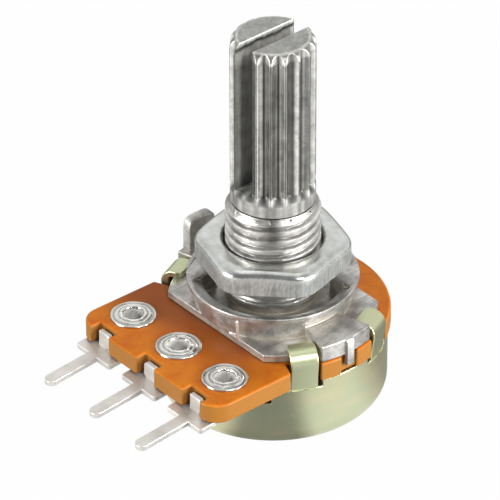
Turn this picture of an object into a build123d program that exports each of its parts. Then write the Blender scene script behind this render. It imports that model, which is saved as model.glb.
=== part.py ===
"""A 16 mm single-gang rotary potentiometer with a knurled, slotted 6 mm shaft.

Millimetres. The origin is the centre of the can's back face, +Z runs along the shaft,
and the three terminals point to -Y.
"""

import math
import os

from build123d import *

os.makedirs("parts", exist_ok=True)

# Clearances and fits
running_fit = 0.05
axial_play = 0.06
assembly_gap = 0.1
contact_gap = 0.06
round_share = 0.98

# Can: a drawn steel cup, open towards the board
can_diameter = 16.2
can_wall = 0.5
can_depth = 5.3
can_back_radius = 1.35
rim_cut_width = 12.2
rim_cut_depth = 1.5
tab_width = 2.0
tab_angle = 24.5
tab_thickness = 0.5
tab_reach = 1.4
tab_bulge = 0.2
tab_bend = 1.0
tab_inner_bend = 0.28
tab_crown_run = 0.1
tab_end_corner = 0.5
tab_relief_width = 0.35
tab_relief_depth = 0.5
stop_side_gap = 0.9
stop_length = 2.0
stop_height = 1.1
stop_half_angle = 12.0

# Phenolic board
board_thickness = 1.5
board_overhang = 0.2
board_hole_diameter = 6.0
terminal_side_margin = 2.5
terminal_edge_margin = 3.05
terminal_side_corner = 1.5
board_notch_width = 2.3
edge_notch_width = 1.85
edge_notch_depth = 0.9

# Printed layers under the board
print_thickness = 0.06
track_inset = 1.35
track_width = 1.5
track_span = 290.0
pad_span = 15.0
collector_gap = 0.2
collector_width = 1.1
print_lead_width = 1.4
print_eye_diameter = 3.4

# Terminals and the eyelets that rivet them
terminal_pitch = 5.0
terminal_setback = 0.45
terminal_thickness = 0.4
terminal_neck_width = 2.6
terminal_eye_diameter = 3.3
terminal_cross_width = 3.7
terminal_cross_length = 1.45
terminal_cross_corner = 0.25
terminal_pin_width = 1.0
terminal_pin_length = 4.1
terminal_droop = 5.0
key_width = 1.2
key_height = 1.2
key_window = 0.7
eyelet_hole_diameter = 1.46
eyelet_wall = 0.24
eyelet_head_diameter = 3.25
eyelet_head_height = 0.3
eyelet_curl_diameter = 2.4
eyelet_curl = 0.2

# Zinc front plate
flange_thickness = 0.55
flange_gap = 0.2
flange_width = 10.5
ring_diameter = 12.16
ring_lip_height = 0.38
ring_rim = 0.34
ring_wall_diameter = 10.9
ring_wall = 0.42
seat_height = 2.62
moat_depth = 1.52
moat_corner = 0.5
moat_pad_edge = 2.8
bushing_diameter = 6.8
bushing_length = 6.24
bushing_chamfer = 0.4
bushing_chamfer_length = 0.65
relief_diameter = 6.3
relief_length = 0.6
block_overhang = 0.05
block_half_angle = 15.6
block_height = 1.25
pip_width = 0.64
pip_reach = 0.25
pip_drop = 0.9
pip_notch_clearance = 0.35
lug_thickness = 0.78
lug_width = 2.4
lug_height = 2.3
lug_outer_x = 8.33
lug_centre_y = -0.14
lug_corner = 0.5

# Shaft
shaft_diameter = 6.0
shaft_length = 19.28
shaft_chamfer = 0.52
journal_diameter = 5.0
flute_count = 18
flute_length = 11.6
flute_root_diameter = 5.2
flute_land = 0.15
slot_width = 1.39
slot_turn = 1.2
flute_turn = 6.9
shaft_turn = 6.5
tang_diameter = 4.4
tang_flat = 3.2

# Retaining clip
clip_thickness = 0.5
clip_diameter = 7.6
clip_groove_depth = 0.45
clip_opening = 70.0

# Rotor and wiper
travel = 300.0
stop_slack = 0.5
rotor_side_gap = 0.7
rotor_disc_thickness = 1.2
rotor_hub_diameter = 6.8
rotor_hub_gap = 0.35
floor_gap = 0.12
arm_gap = 0.3
wiper_thickness = 0.2
wiper_base_width = 1.7
finger_width = 0.8
finger_length = 2.6
finger_root = 0.8

# Nut
nut_across_flats = 10.0
nut_thickness = 1.95
nut_standoff = 1.13
nut_corner_diameter = 10.95
nut_turn = 45.0
nut_chamfer = 0.3
nut_bore_diameter = 7.06

# Levels worked out from the sizes above
rim_z = can_depth
board_top_z = rim_z + board_thickness
flange_top_z = board_top_z + flange_thickness
seat_z = board_top_z + seat_height
moat_floor_z = seat_z - moat_depth
bushing_top_z = seat_z + bushing_length
shaft_top_z = seat_z + shaft_length
flute_bottom_z = shaft_top_z - flute_length
print_z = rim_z - print_thickness
terminal_top_z = print_z
terminal_bottom_z = terminal_top_z - terminal_thickness
block_top_z = board_top_z + block_height
clip_z = board_top_z + axial_play
clip_pocket_z = clip_z + clip_thickness + axial_play
nut_z = seat_z + nut_standoff
shoulder_z = bushing_top_z + axial_play
tang_bottom_z = can_wall + floor_gap + assembly_gap
tang_top_z = rim_z + assembly_gap
hub_top_z = rim_z - rotor_hub_gap
arm_bottom_z = can_wall + arm_gap
disc_bottom_z = can_wall + stop_height + arm_gap
disc_top_z = disc_bottom_z + rotor_disc_thickness

# Radii and angles worked out from the sizes above
can_radius = can_diameter / 2
can_inner_radius = can_radius - can_wall
tab_inner_radius = can_inner_radius
board_radius = can_radius + board_overhang
stop_outer = can_inner_radius - stop_side_gap
stop_inner = stop_outer - stop_length
track_radius = can_inner_radius - track_inset
rotor_radius = can_inner_radius - rotor_side_gap
terminal_y = -(can_radius + terminal_setback)
terminal_side_reach = terminal_edge_margin - terminal_y
terminal_side_width = 2 * (terminal_pitch + terminal_side_margin)
collector_radius = (rotor_hub_diameter + collector_width) / 2 + collector_gap
block_radius = can_radius + block_overhang
flange_radius = tab_inner_radius - flange_gap
bushing_radius = bushing_diameter / 2
ring_radius = ring_diameter / 2
ring_wall_radius = ring_wall_diameter / 2
eyelet_outer_radius = eyelet_hole_diameter / 2 + eyelet_wall
rivet_hole_radius = eyelet_outer_radius + running_fit
arm_half_angle = 180 - travel / 2 - stop_half_angle - stop_slack
wiper_angle = 90 + shaft_turn
terminal_xs = {"left": -terminal_pitch, "middle": 0.0, "right": terminal_pitch}


def at_angle(radius, angle):
    """A point on a circle about the shaft axis."""
    return (radius * math.cos(math.radians(angle)), radius * math.sin(math.radians(angle)))


def sector(inner, outer, middle, half):
    """A flat ring sector about the shaft axis, from a middle angle and a half angle."""
    with BuildSketch(mode=Mode.PRIVATE) as shape:
        with BuildLine():
            ThreePointArc(
                at_angle(outer, middle - half), at_angle(outer, middle), at_angle(outer, middle + half)
            )
            Line(at_angle(outer, middle + half), at_angle(inner, middle + half))
            ThreePointArc(
                at_angle(inner, middle + half), at_angle(inner, middle), at_angle(inner, middle - half)
            )
            Line(at_angle(inner, middle - half), at_angle(outer, middle - half))
        make_face()
    return shape.sketch


def radial_plane(angle, radius=0.0):
    """A plane that faces outwards at an angle: x along the tangent, y up the shaft."""
    turn = math.radians(angle)
    outward = (math.cos(turn), math.sin(turn), 0)
    tangent = (-math.sin(turn), math.cos(turn), 0)
    return Plane(origin=(radius * outward[0], radius * outward[1], 0), x_dir=tangent, z_dir=outward)


def side_plane(angle):
    """A plane through the shaft axis: x outwards at an angle, y up the shaft."""
    turn = math.radians(angle)
    outward = (math.cos(turn), math.sin(turn), 0)
    return Plane(origin=(0, 0, 0), x_dir=outward, z_dir=(math.sin(turn), -math.cos(turn), 0))


tab_angles = [tab_angle, 180 - tab_angle, 180 + tab_angle, -tab_angle]


# Rear cover: the cup, its pressed stop, the cut-out rim and the four crimped tabs
with BuildPart() as rear_cover:
    with BuildSketch():
        Circle(can_radius)
    extrude(amount=can_depth)
    fillet(rear_cover.faces().sort_by(Axis.Z)[0].edges(), can_back_radius)
    with BuildSketch(Plane.XY.offset(can_wall)):
        Circle(can_inner_radius)
    extrude(amount=can_depth - can_wall, mode=Mode.SUBTRACT)
    with BuildSketch(Plane.XY.offset(can_wall)):
        add(sector(stop_inner, stop_outer, -90, stop_half_angle))
    extrude(amount=stop_height)
    stop_hollow = stop_half_angle - math.degrees(2 * can_wall / (stop_inner + stop_outer))
    with BuildSketch():
        add(sector(stop_inner + can_wall, stop_outer - can_wall, -90, stop_hollow))
    extrude(amount=stop_height, mode=Mode.SUBTRACT)
    with BuildSketch(Plane.XY.offset(rim_z)):
        with Locations((0, -can_radius)):
            Rectangle(rim_cut_width, can_radius)
    extrude(amount=-rim_cut_depth, mode=Mode.SUBTRACT)
    for angle in tab_angles:
        with BuildSketch(side_plane(angle)) as tab_profile:
            with BuildLine():
                Polyline(
                    (tab_inner_radius, rim_z - tab_relief_depth),
                    (can_radius, rim_z - tab_relief_depth),
                    (can_radius, rim_z),
                    (can_radius + tab_bulge, flange_top_z + tab_thickness - tab_bend - tab_crown_run),
                    (can_radius + tab_bulge, flange_top_z + tab_thickness),
                    (can_radius - tab_reach, flange_top_z + tab_thickness),
                    (can_radius - tab_reach, flange_top_z),
                    (tab_inner_radius + tab_bulge / 2, flange_top_z),
                    (tab_inner_radius, rim_z),
                    close=True,
                )
            make_face()
            crown = tab_profile.vertices().sort_by(Axis.Y)[-2:].sort_by(Axis.X)
            fillet(crown[-1], tab_bend)
            hollow = (tab_inner_radius + tab_bulge / 2, flange_top_z)
            fillet(tab_profile.vertices().sort_by_distance(hollow)[0], tab_inner_bend)
        extrude(amount=tab_width / 2, both=True)
        with BuildSketch(Plane.XY.offset(flange_top_z)):
            with Locations(Rot(0, 0, angle) * Pos(can_radius - tab_reach, 0)):
                Rectangle(2 * tab_end_corner, tab_width)
            with Locations(Rot(0, 0, angle) * Pos(can_radius - tab_reach + tab_end_corner, 0)):
                RectangleRounded(
                    2 * tab_end_corner, tab_width, tab_end_corner * round_share, mode=Mode.SUBTRACT
                )
            with Locations(Rot(0, 0, angle) * Pos(can_radius - tab_reach + 1.5 * tab_end_corner, 0)):
                Rectangle(tab_end_corner, tab_width, mode=Mode.SUBTRACT)
        extrude(amount=tab_thickness, mode=Mode.SUBTRACT)
        with BuildSketch(radial_plane(angle, can_inner_radius - can_wall)):
            with Locations((0, rim_z - tab_relief_depth / 2)):
                with GridLocations(tab_width + tab_relief_width, 1, 2, 1):
                    Rectangle(tab_relief_width, tab_relief_depth)
        extrude(amount=can_wall * 3, mode=Mode.SUBTRACT)
rear_cover.part.label = "rear_cover"
export_step(rear_cover.part, "parts/rear_cover.step")


# Element board: round with a straight terminal section, notched for tabs, pips and terminals
with BuildPart() as element_board:
    with BuildSketch(Plane.XY.offset(rim_z)) as board_outline:
        Circle(board_radius)
        with Locations((0, -terminal_side_reach / 2)):
            Rectangle(terminal_side_width, terminal_side_reach)
        front_corners = board_outline.vertices().filter_by_position(
            Axis.Y, -terminal_side_reach - 0.01, -terminal_side_reach + 0.01
        )
        fillet(front_corners, terminal_side_corner)
        Circle(board_hole_diameter / 2, mode=Mode.SUBTRACT)
        for angle in tab_angles:
            notch_root = tab_inner_radius - assembly_gap
            with Locations(Rot(0, 0, angle) * Pos(notch_root + board_notch_width, 0)):
                Rectangle(2 * board_notch_width, board_notch_width, mode=Mode.SUBTRACT)
        for angle in (0, 180):
            pip_root = board_radius - pip_notch_clearance
            with Locations(Rot(0, 0, angle) * Pos(pip_root + can_wall, 0)):
                Rectangle(2 * can_wall, pip_width + 2 * pip_notch_clearance, mode=Mode.SUBTRACT)
        for x in terminal_xs.values():
            with Locations((x, -terminal_side_reach)):
                Rectangle(edge_notch_width, 2 * edge_notch_depth, mode=Mode.SUBTRACT)
            with Locations((x, terminal_y)):
                Circle(rivet_hole_radius, mode=Mode.SUBTRACT)
    extrude(amount=board_thickness)
element_board.part.label = "element_board"
export_step(element_board.part, "parts/element_board.step")


# Carbon track: the resistive arc, with its gap towards the terminals
track_inner = track_radius - track_width / 2
track_outer = track_radius + track_width / 2
with BuildPart() as carbon_track:
    with BuildSketch(Plane.XY.offset(print_z)):
        add(sector(track_inner, track_outer, 90, track_span / 2))
    extrude(amount=print_thickness)
carbon_track.part.label = "carbon_track"
export_step(carbon_track.part, "parts/carbon_track.step")


# End pads: silver ends of the track, each with a lead to its terminal
end_half = pad_span / 2
for side, sign in (("left", 1), ("right", -1)):
    middle = 90 + sign * (track_span / 2 + end_half)
    start = at_angle(track_radius, middle)
    eye = (terminal_xs[side], terminal_y)
    run = math.hypot(eye[0] - start[0], eye[1] - start[1])
    lead_angle = math.degrees(math.atan2(eye[1] - start[1], eye[0] - start[0]))
    lead_middle = ((eye[0] + start[0]) / 2, (eye[1] + start[1]) / 2)
    with BuildPart() as end_pad:
        with BuildSketch(Plane.XY.offset(print_z)):
            add(sector(track_inner, track_outer, middle, end_half))
            with Locations(Pos(*lead_middle) * Rot(0, 0, lead_angle)):
                Rectangle(run, print_lead_width)
            with Locations(eye):
                Circle(print_eye_diameter / 2)
                Circle(rivet_hole_radius, mode=Mode.SUBTRACT)
        extrude(amount=print_thickness)
    end_pad.part.label = "end_pad_" + side
    export_step(end_pad.part, "parts/end_pad_" + side + ".step")


# Collector ring: the inner silver ring, with a lead through the gap to the middle terminal
with BuildPart() as collector_ring:
    with BuildSketch(Plane.XY.offset(print_z)):
        Circle(collector_radius + collector_width / 2)
        with Locations((0, terminal_y / 2)):
            Rectangle(print_lead_width, -terminal_y)
        with Locations((0, terminal_y)):
            Circle(print_eye_diameter / 2)
            Circle(rivet_hole_radius, mode=Mode.SUBTRACT)
        Circle(collector_radius - collector_width / 2, mode=Mode.SUBTRACT)
    extrude(amount=print_thickness)
collector_ring.part.label = "collector_ring"
export_step(collector_ring.part, "parts/collector_ring.step")


# Terminals: flat strip under the board, a key bent up into the edge notch, a drooping pin
notch_back_y = -(terminal_side_reach - edge_notch_depth)
key_back_y = notch_back_y - assembly_gap
key_front_y = key_back_y - terminal_thickness
cross_front_y = key_front_y - terminal_cross_length + terminal_thickness
pin_end_y = cross_front_y - terminal_pin_length
droop_drop = math.tan(math.radians(terminal_droop)) * (key_front_y - pin_end_y)
eye_back_y = terminal_y + terminal_eye_diameter / 2
for side, x in terminal_xs.items():
    with BuildPart() as terminal:
        with BuildSketch(Plane.YZ.offset(x)):
            with BuildLine():
                Polyline(
                    (eye_back_y, terminal_top_z),
                    (key_front_y, terminal_top_z),
                    (pin_end_y, terminal_top_z - droop_drop),
                    (pin_end_y, terminal_bottom_z - droop_drop),
                    (key_front_y, terminal_bottom_z),
                    (eye_back_y, terminal_bottom_z),
                    close=True,
                )
            make_face()
        extrude(amount=terminal_cross_width, both=True)
        with BuildSketch(Plane.XY.offset(terminal_bottom_z - droop_drop)):
            with Locations((x, terminal_y)):
                Circle(terminal_eye_diameter / 2)
            with Locations((x, (terminal_y + notch_back_y) / 2)):
                Rectangle(terminal_neck_width, terminal_y - notch_back_y)
            with Locations((x, (notch_back_y + cross_front_y) / 2)):
                RectangleRounded(
                    terminal_cross_width, notch_back_y - cross_front_y, terminal_cross_corner
                )
            with Locations((x, (key_front_y + pin_end_y) / 2)):
                RectangleRounded(
                    terminal_pin_width, key_front_y - pin_end_y, terminal_pin_width / 2 * round_share
                )
            with Locations((x, terminal_y)):
                Circle(rivet_hole_radius, mode=Mode.SUBTRACT)
            with Locations((x, key_back_y + key_window / 2)):
                Rectangle(key_width, key_window, mode=Mode.SUBTRACT)
        extrude(amount=2 * (terminal_thickness + droop_drop), mode=Mode.INTERSECT)
        with BuildSketch(Plane.XZ.offset(-key_back_y)) as key_face:
            with Locations((x, terminal_top_z + key_height / 2)):
                Rectangle(key_width, key_height)
            fillet(key_face.vertices().sort_by(Axis.Z)[-2:], key_width / 4)
        extrude(amount=terminal_thickness)
    terminal.part.label = "terminal_" + side
    export_step(terminal.part, "parts/terminal_" + side + ".step")


# Eyelets: a tube through board and terminal, curled over above and set flat below
for side, x in terminal_xs.items():
    bore = eyelet_hole_diameter / 2
    head = eyelet_head_diameter / 2
    curl = eyelet_curl_diameter / 2
    tube = eyelet_outer_radius
    head_top = board_top_z + eyelet_head_height
    with BuildPart() as eyelet:
        with BuildSketch(Plane(origin=(x, terminal_y, 0), x_dir=(1, 0, 0), z_dir=(0, -1, 0))):
            with BuildLine():
                Polyline(
                    (bore, terminal_bottom_z - eyelet_wall),
                    (bore, board_top_z),
                    (bore + eyelet_curl, head_top - eyelet_curl / 4),
                    (curl, head_top),
                    (head - eyelet_curl / 4, board_top_z + eyelet_curl),
                    (head, board_top_z),
                    (tube, board_top_z),
                    (tube, terminal_bottom_z),
                    (curl, terminal_bottom_z),
                    (curl, terminal_bottom_z - eyelet_wall),
                    close=True,
                )
            make_face()
        revolve(axis=Axis((x, terminal_y, 0), (0, 0, 1)))
    eyelet.part.label = "eyelet_" + side
    export_step(eyelet.part, "parts/eyelet_" + side + ".step")


# Front plate: flange, lipped ring with its moat and two solid pads, bushing, blocks, pips, lug
lip_z = seat_z - ring_lip_height
moat_radius = ring_radius - ring_rim
moat_inset = moat_radius - ring_wall_radius + ring_wall
moat_slope = math.degrees(math.atan2(moat_inset, ring_lip_height))
pad_middle = moat_pad_edge + ring_radius
with BuildPart() as front_plate:
    with BuildSketch(Plane.XY.offset(board_top_z)):
        Circle(flange_radius)
        Rectangle(2 * flange_radius, flange_width, mode=Mode.INTERSECT)
    extrude(amount=flange_thickness)
    with BuildSketch(Plane.XY.offset(board_top_z)):
        for angle in (0, 180):
            add(sector(bushing_radius, block_radius, angle, block_half_angle))
    extrude(amount=block_height)
    with BuildSketch(Plane.XY.offset(flange_top_z)):
        Circle(ring_wall_radius)
    extrude(amount=lip_z - flange_top_z)
    with BuildSketch(Plane.XY.offset(lip_z)):
        Circle(ring_radius)
    extrude(amount=ring_lip_height)
    with BuildSketch(Plane.XY.offset(seat_z)):
        Circle(moat_radius)
    extrude(amount=-ring_lip_height, taper=moat_slope, mode=Mode.SUBTRACT)
    with BuildSketch(Plane.XY.offset(lip_z)):
        Circle(moat_radius - moat_inset)
    extrude(amount=moat_floor_z - lip_z, mode=Mode.SUBTRACT)
    with BuildSketch(mode=Mode.PRIVATE) as moat:
        Circle(moat_radius)
        with Locations((pad_middle, pad_middle), (-pad_middle, -pad_middle)):
            Rectangle(ring_diameter, ring_diameter, mode=Mode.SUBTRACT)
        fillet(moat.vertices().sort_by_distance((0, 0))[2:], moat_corner)
    for level, radius, height in (
        (moat_floor_z, ring_wall_radius, lip_z - moat_floor_z),
        (lip_z, ring_radius, ring_lip_height),
    ):
        with BuildSketch(Plane.XY.offset(level)):
            Circle(radius)
            add(moat.sketch, mode=Mode.SUBTRACT)
        extrude(amount=height)
    with BuildSketch(Plane.XY.offset(moat_floor_z)):
        Circle(bushing_radius)
    extrude(amount=bushing_top_z - moat_floor_z)
    with BuildSketch(Plane.XZ):
        with BuildLine():
            Polyline(
                (bushing_radius - bushing_chamfer, bushing_top_z),
                (bushing_radius + bushing_chamfer, bushing_top_z),
                (bushing_radius + bushing_chamfer, bushing_top_z - bushing_chamfer_length),
                (bushing_radius, bushing_top_z - bushing_chamfer_length),
                close=True,
            )
        make_face()
    revolve(axis=Axis.Z, mode=Mode.SUBTRACT)
    with BuildSketch(Plane.XY.offset(moat_floor_z)):
        Circle(bushing_radius)
        Circle(relief_diameter / 2, mode=Mode.SUBTRACT)
    extrude(amount=relief_length, mode=Mode.SUBTRACT)
    for angle in (0, 180):
        with BuildSketch(side_plane(angle)):
            with BuildLine():
                Polyline(
                    (block_radius - pip_reach, block_top_z),
                    (block_radius + pip_reach / 2, block_top_z),
                    (block_radius + pip_reach, block_top_z - pip_reach),
                    (block_radius + pip_reach, board_top_z - pip_drop + pip_reach / 2),
                    (block_radius + pip_reach / 2, board_top_z - pip_drop),
                    (block_radius - pip_reach / 2, board_top_z - pip_drop),
                    (block_radius - pip_reach / 2, board_top_z),
                    (block_radius - pip_reach, board_top_z),
                    close=True,
                )
            make_face()
        extrude(amount=pip_width / 2, both=True)
    with BuildSketch(Plane.YZ.offset(-lug_outer_x)) as lug_face:
        with Locations((lug_centre_y, block_top_z + lug_height / 2)):
            Rectangle(lug_width, lug_height)
        fillet(lug_face.vertices().sort_by(Axis.Z)[-2:], lug_corner)
    extrude(amount=lug_thickness)
    with BuildSketch(Plane.YZ.offset(-lug_outer_x)):
        with Locations((lug_centre_y, (board_top_z + block_top_z) / 2)):
            Rectangle(lug_width, block_height)
    extrude(amount=lug_thickness)
    with BuildSketch(Plane.XY.offset(board_top_z)):
        Circle(clip_diameter / 2 + 2 * assembly_gap)
    extrude(amount=clip_pocket_z - board_top_z, mode=Mode.SUBTRACT)
    with BuildSketch(Plane.XY.offset(board_top_z)):
        Circle(journal_diameter / 2 + running_fit)
    extrude(amount=bushing_top_z - board_top_z, mode=Mode.SUBTRACT)
front_plate.part.label = "front_plate"
export_step(front_plate.part, "parts/front_plate.step")


# Mounting nut: a thin hexagon with rounded corners
with BuildPart() as mounting_nut:
    with BuildSketch(Plane.XY.offset(nut_z)):
        RegularPolygon(nut_across_flats / 2, 6, major_radius=False, rotation=nut_turn)
        Circle(nut_corner_diameter / 2, mode=Mode.INTERSECT)
        Circle(nut_bore_diameter / 2, mode=Mode.SUBTRACT)
    extrude(amount=nut_thickness)
    chamfer(mounting_nut.faces().sort_by(Axis.Z)[-1].edges(), nut_chamfer)
mounting_nut.part.label = "mounting_nut"
export_step(mounting_nut.part, "parts/mounting_nut.step")


# Shaft: flatted tang, grooved journal in the bushing, 6 mm head with flutes and a sawn slot
flute_root = flute_root_diameter / 2
shaft_radius = shaft_diameter / 2
flute_half_chord = math.sin(math.pi / flute_count - flute_land / shaft_diameter) * shaft_radius
flute_depth = math.sqrt(shaft_radius**2 - flute_half_chord**2) - flute_root
flute_radius = (flute_half_chord**2 + flute_depth**2) / (2 * flute_depth)
with BuildPart() as shaft:
    with BuildSketch(Plane.XY.offset(tang_top_z)):
        Circle(journal_diameter / 2)
    extrude(amount=shoulder_z - tang_top_z)
    with BuildSketch(Plane.XY.offset(shoulder_z)):
        Circle(shaft_radius)
    extrude(amount=shaft_top_z - shoulder_z)
    chamfer(shaft.faces().sort_by(Axis.Z)[-1].edges(), shaft_chamfer)
    with BuildSketch(Plane.XY.offset(flute_bottom_z).rotated((0, 0, flute_turn - 90))):
        with PolarLocations(flute_root + flute_radius, flute_count, 180 / flute_count):
            Circle(flute_radius)
    extrude(amount=flute_length, mode=Mode.SUBTRACT)
    with BuildSketch(Plane.XY.offset(flute_bottom_z).rotated((0, 0, slot_turn))):
        Rectangle(slot_width, 2 * shaft_diameter)
    extrude(amount=flute_length, mode=Mode.SUBTRACT)
    with BuildSketch(Plane.XY.offset(clip_z)):
        Circle(shaft_diameter)
        Circle(journal_diameter / 2 - clip_groove_depth, mode=Mode.SUBTRACT)
    extrude(amount=clip_thickness, mode=Mode.SUBTRACT)
    with BuildSketch(Plane.XY.offset(tang_bottom_z).rotated((0, 0, shaft_turn))):
        Circle(tang_diameter / 2)
        Rectangle(tang_flat, tang_diameter, mode=Mode.INTERSECT)
    extrude(amount=tang_top_z - tang_bottom_z)
shaft.part.label = "shaft"
export_step(shaft.part, "parts/shaft.step")


# Retaining clip: a flat C in the journal's groove
with BuildPart() as retaining_clip:
    with BuildSketch(Plane.XY.offset(clip_z)):
        groove_radius = journal_diameter / 2 - clip_groove_depth
        add(sector(groove_radius, clip_diameter / 2, 90 + shaft_turn, 180 - clip_opening / 2))
    extrude(amount=clip_thickness)
retaining_clip.part.label = "retaining_clip"
export_step(retaining_clip.part, "parts/retaining_clip.step")


# Rotor: moulded disc on the tang, its hub between can floor and board, the stop arm below
with BuildPart() as rotor:
    with BuildSketch(Plane.XY.offset(disc_bottom_z)):
        Circle(rotor_radius)
    extrude(amount=rotor_disc_thickness)
    with BuildSketch(Plane.XY.offset(can_wall + floor_gap)):
        Circle(rotor_hub_diameter / 2)
    extrude(amount=hub_top_z - can_wall - floor_gap)
    with BuildSketch(Plane.XY.offset(arm_bottom_z)):
        add(sector(rotor_hub_diameter / 2 - can_wall, rotor_radius, wiper_angle, arm_half_angle))
    extrude(amount=disc_bottom_z - arm_bottom_z)
    with BuildSketch(Plane.XY.offset(tang_bottom_z).rotated((0, 0, shaft_turn))):
        Circle(tang_diameter / 2)
        Rectangle(tang_flat, tang_diameter, mode=Mode.INTERSECT)
    extrude(amount=hub_top_z - tang_bottom_z, mode=Mode.SUBTRACT)
rotor.part.label = "rotor"
export_step(rotor.part, "parts/rotor.step")


# Wiper: a bronze ring on the rotor, with one finger under the track and one under the collector
finger_top_z = print_z - contact_gap
wiper_inner = rotor_hub_diameter / 2 + running_fit
wiper_outer = wiper_inner + wiper_base_width
wiper_top_z = disc_top_z + wiper_thickness
with BuildPart() as wiper:
    with BuildSketch(Plane.XY.offset(disc_top_z)):
        Circle(wiper_outer)
        with Locations(Rot(0, 0, wiper_angle) * Pos(track_radius / 2, -finger_length - finger_root / 2)):
            Rectangle(track_radius + finger_width, finger_root)
        Circle(wiper_inner, mode=Mode.SUBTRACT)
    extrude(amount=wiper_thickness)
    for contact_radius in (track_radius, collector_radius):
        with BuildSketch(radial_plane(wiper_angle, contact_radius - finger_width / 2)):
            with BuildLine():
                Polyline(
                    (-finger_length, disc_top_z),
                    (0, finger_top_z - 2 * wiper_thickness),
                    (wiper_thickness * 2, finger_top_z - wiper_thickness),
                    (0, finger_top_z),
                    (-finger_length, wiper_top_z),
                    close=True,
                )
            make_face()
        extrude(amount=finger_width)
wiper.part.label = "wiper"
export_step(wiper.part, "parts/wiper.step")
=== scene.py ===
"""Dresses a small panel-mount potentiometer: its metals, board, thread, nut, eyelets and light."""

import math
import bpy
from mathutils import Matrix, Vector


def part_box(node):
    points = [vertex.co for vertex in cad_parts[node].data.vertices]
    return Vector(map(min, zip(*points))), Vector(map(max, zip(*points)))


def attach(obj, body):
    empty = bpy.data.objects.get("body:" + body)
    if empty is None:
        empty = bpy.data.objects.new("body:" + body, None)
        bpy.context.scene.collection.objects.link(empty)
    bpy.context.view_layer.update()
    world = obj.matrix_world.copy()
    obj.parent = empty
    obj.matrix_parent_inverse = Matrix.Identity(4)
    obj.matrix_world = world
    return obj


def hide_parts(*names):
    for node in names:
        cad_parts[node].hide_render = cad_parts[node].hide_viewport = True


bl_info = {
    "name": "Splined potentiometer dresser",
    "version": (1, 0, 0),
    "blender": (4, 5, 0),
    "location": "3D View > Sidebar > Potentiometer",
    "description": "Surfaces, thread and studio for a small rotary potentiometer",
    "category": "Object",
}

import bmesh
import bpy
import numpy as np
from mathutils import Matrix, Vector

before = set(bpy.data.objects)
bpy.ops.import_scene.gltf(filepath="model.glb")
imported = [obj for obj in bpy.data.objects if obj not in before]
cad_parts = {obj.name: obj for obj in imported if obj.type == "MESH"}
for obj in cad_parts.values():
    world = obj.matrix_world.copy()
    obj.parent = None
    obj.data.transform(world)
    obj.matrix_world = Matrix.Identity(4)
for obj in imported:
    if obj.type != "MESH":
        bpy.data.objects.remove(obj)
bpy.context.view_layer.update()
MM = 0.001
SIDES = ("left", "middle", "right")


def node_box(node):
    """The lowest and highest corners of a CAD node, as numpy arrays in metres."""
    low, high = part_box(node)
    return np.array(low), np.array(high)


# heights that the pieces take from the frame
BUSHING_TOP = node_box("front_plate")[1][2]
NUT_FOOT, NUT_TOP = (corner[2] for corner in node_box("mounting_nut"))
BOARD_TOP = node_box("element_board")[1][2]
SHAFT_TOP = node_box("shaft")[1][2]


def linear(hex_colour):
    """Turns an sRGB hex colour into linear light with an alpha of one."""
    parts = [int(hex_colour[i:i + 2], 16) / 255 for i in (1, 3, 5)]
    return [c / 12.92 if c <= 0.04045 else ((c + 0.055) / 1.055) ** 2.4 for c in parts] + [1.0]


class ThreadSizes(bpy.types.PropertyGroup):
    """Sizes of the bushing's cast thread."""

    major: bpy.props.FloatProperty(
        name="Major diameter", description="Across the thread's crests",
        default=6.72 * MM, unit="LENGTH", subtype="DISTANCE", precision=5)
    pitch: bpy.props.FloatProperty(
        name="Pitch", description="Rise of the thread in one turn",
        default=0.75 * MM, unit="LENGTH", subtype="DISTANCE", precision=5)
    depth: bpy.props.FloatProperty(
        name="Depth", description="From crest to root",
        default=0.30 * MM, unit="LENGTH", subtype="DISTANCE", precision=5)
    parting_flat: bpy.props.FloatProperty(
        name="Across the parting flats", description="Width where the two halves of the mould met",
        default=6.56 * MM, unit="LENGTH", subtype="DISTANCE", precision=5)


class NutSizes(bpy.types.PropertyGroup):
    """Sizes of the stamped nut."""

    across_flats: bpy.props.FloatProperty(
        name="Across flats", description="Between two opposite flats",
        default=10.0 * MM, unit="LENGTH", subtype="DISTANCE", precision=5)
    across_corners: bpy.props.FloatProperty(
        name="Across corners", description="Between two opposite corners, as rounded",
        default=10.95 * MM, unit="LENGTH", subtype="DISTANCE", precision=5)
    bore: bpy.props.FloatProperty(
        name="Bore", description="Across the hole", default=7.06 * MM, unit="LENGTH",
        subtype="DISTANCE", precision=5)
    edge: bpy.props.FloatProperty(
        name="Edge rounding", description="How far the rolled upper edge reaches inwards",
        default=0.55 * MM, unit="LENGTH", subtype="DISTANCE", precision=5)


class ShaftSizes(bpy.types.PropertyGroup):
    """Sizes of the fluted shaft head."""

    diameter: bpy.props.FloatProperty(
        name="Diameter", description="Across the ridges", default=5.98 * MM, unit="LENGTH",
        subtype="DISTANCE", precision=5)
    root: bpy.props.FloatProperty(
        name="Root diameter", description="Across the valleys of the flutes", default=5.2 * MM,
        unit="LENGTH", subtype="DISTANCE", precision=5)
    slot: bpy.props.FloatProperty(
        name="Slot width", description="Between the two walls of the sawn slot", default=1.39 * MM,
        unit="LENGTH", subtype="DISTANCE", precision=5)
    flutes: bpy.props.IntProperty(name="Flutes", description="Number of flutes", default=18)


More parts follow.
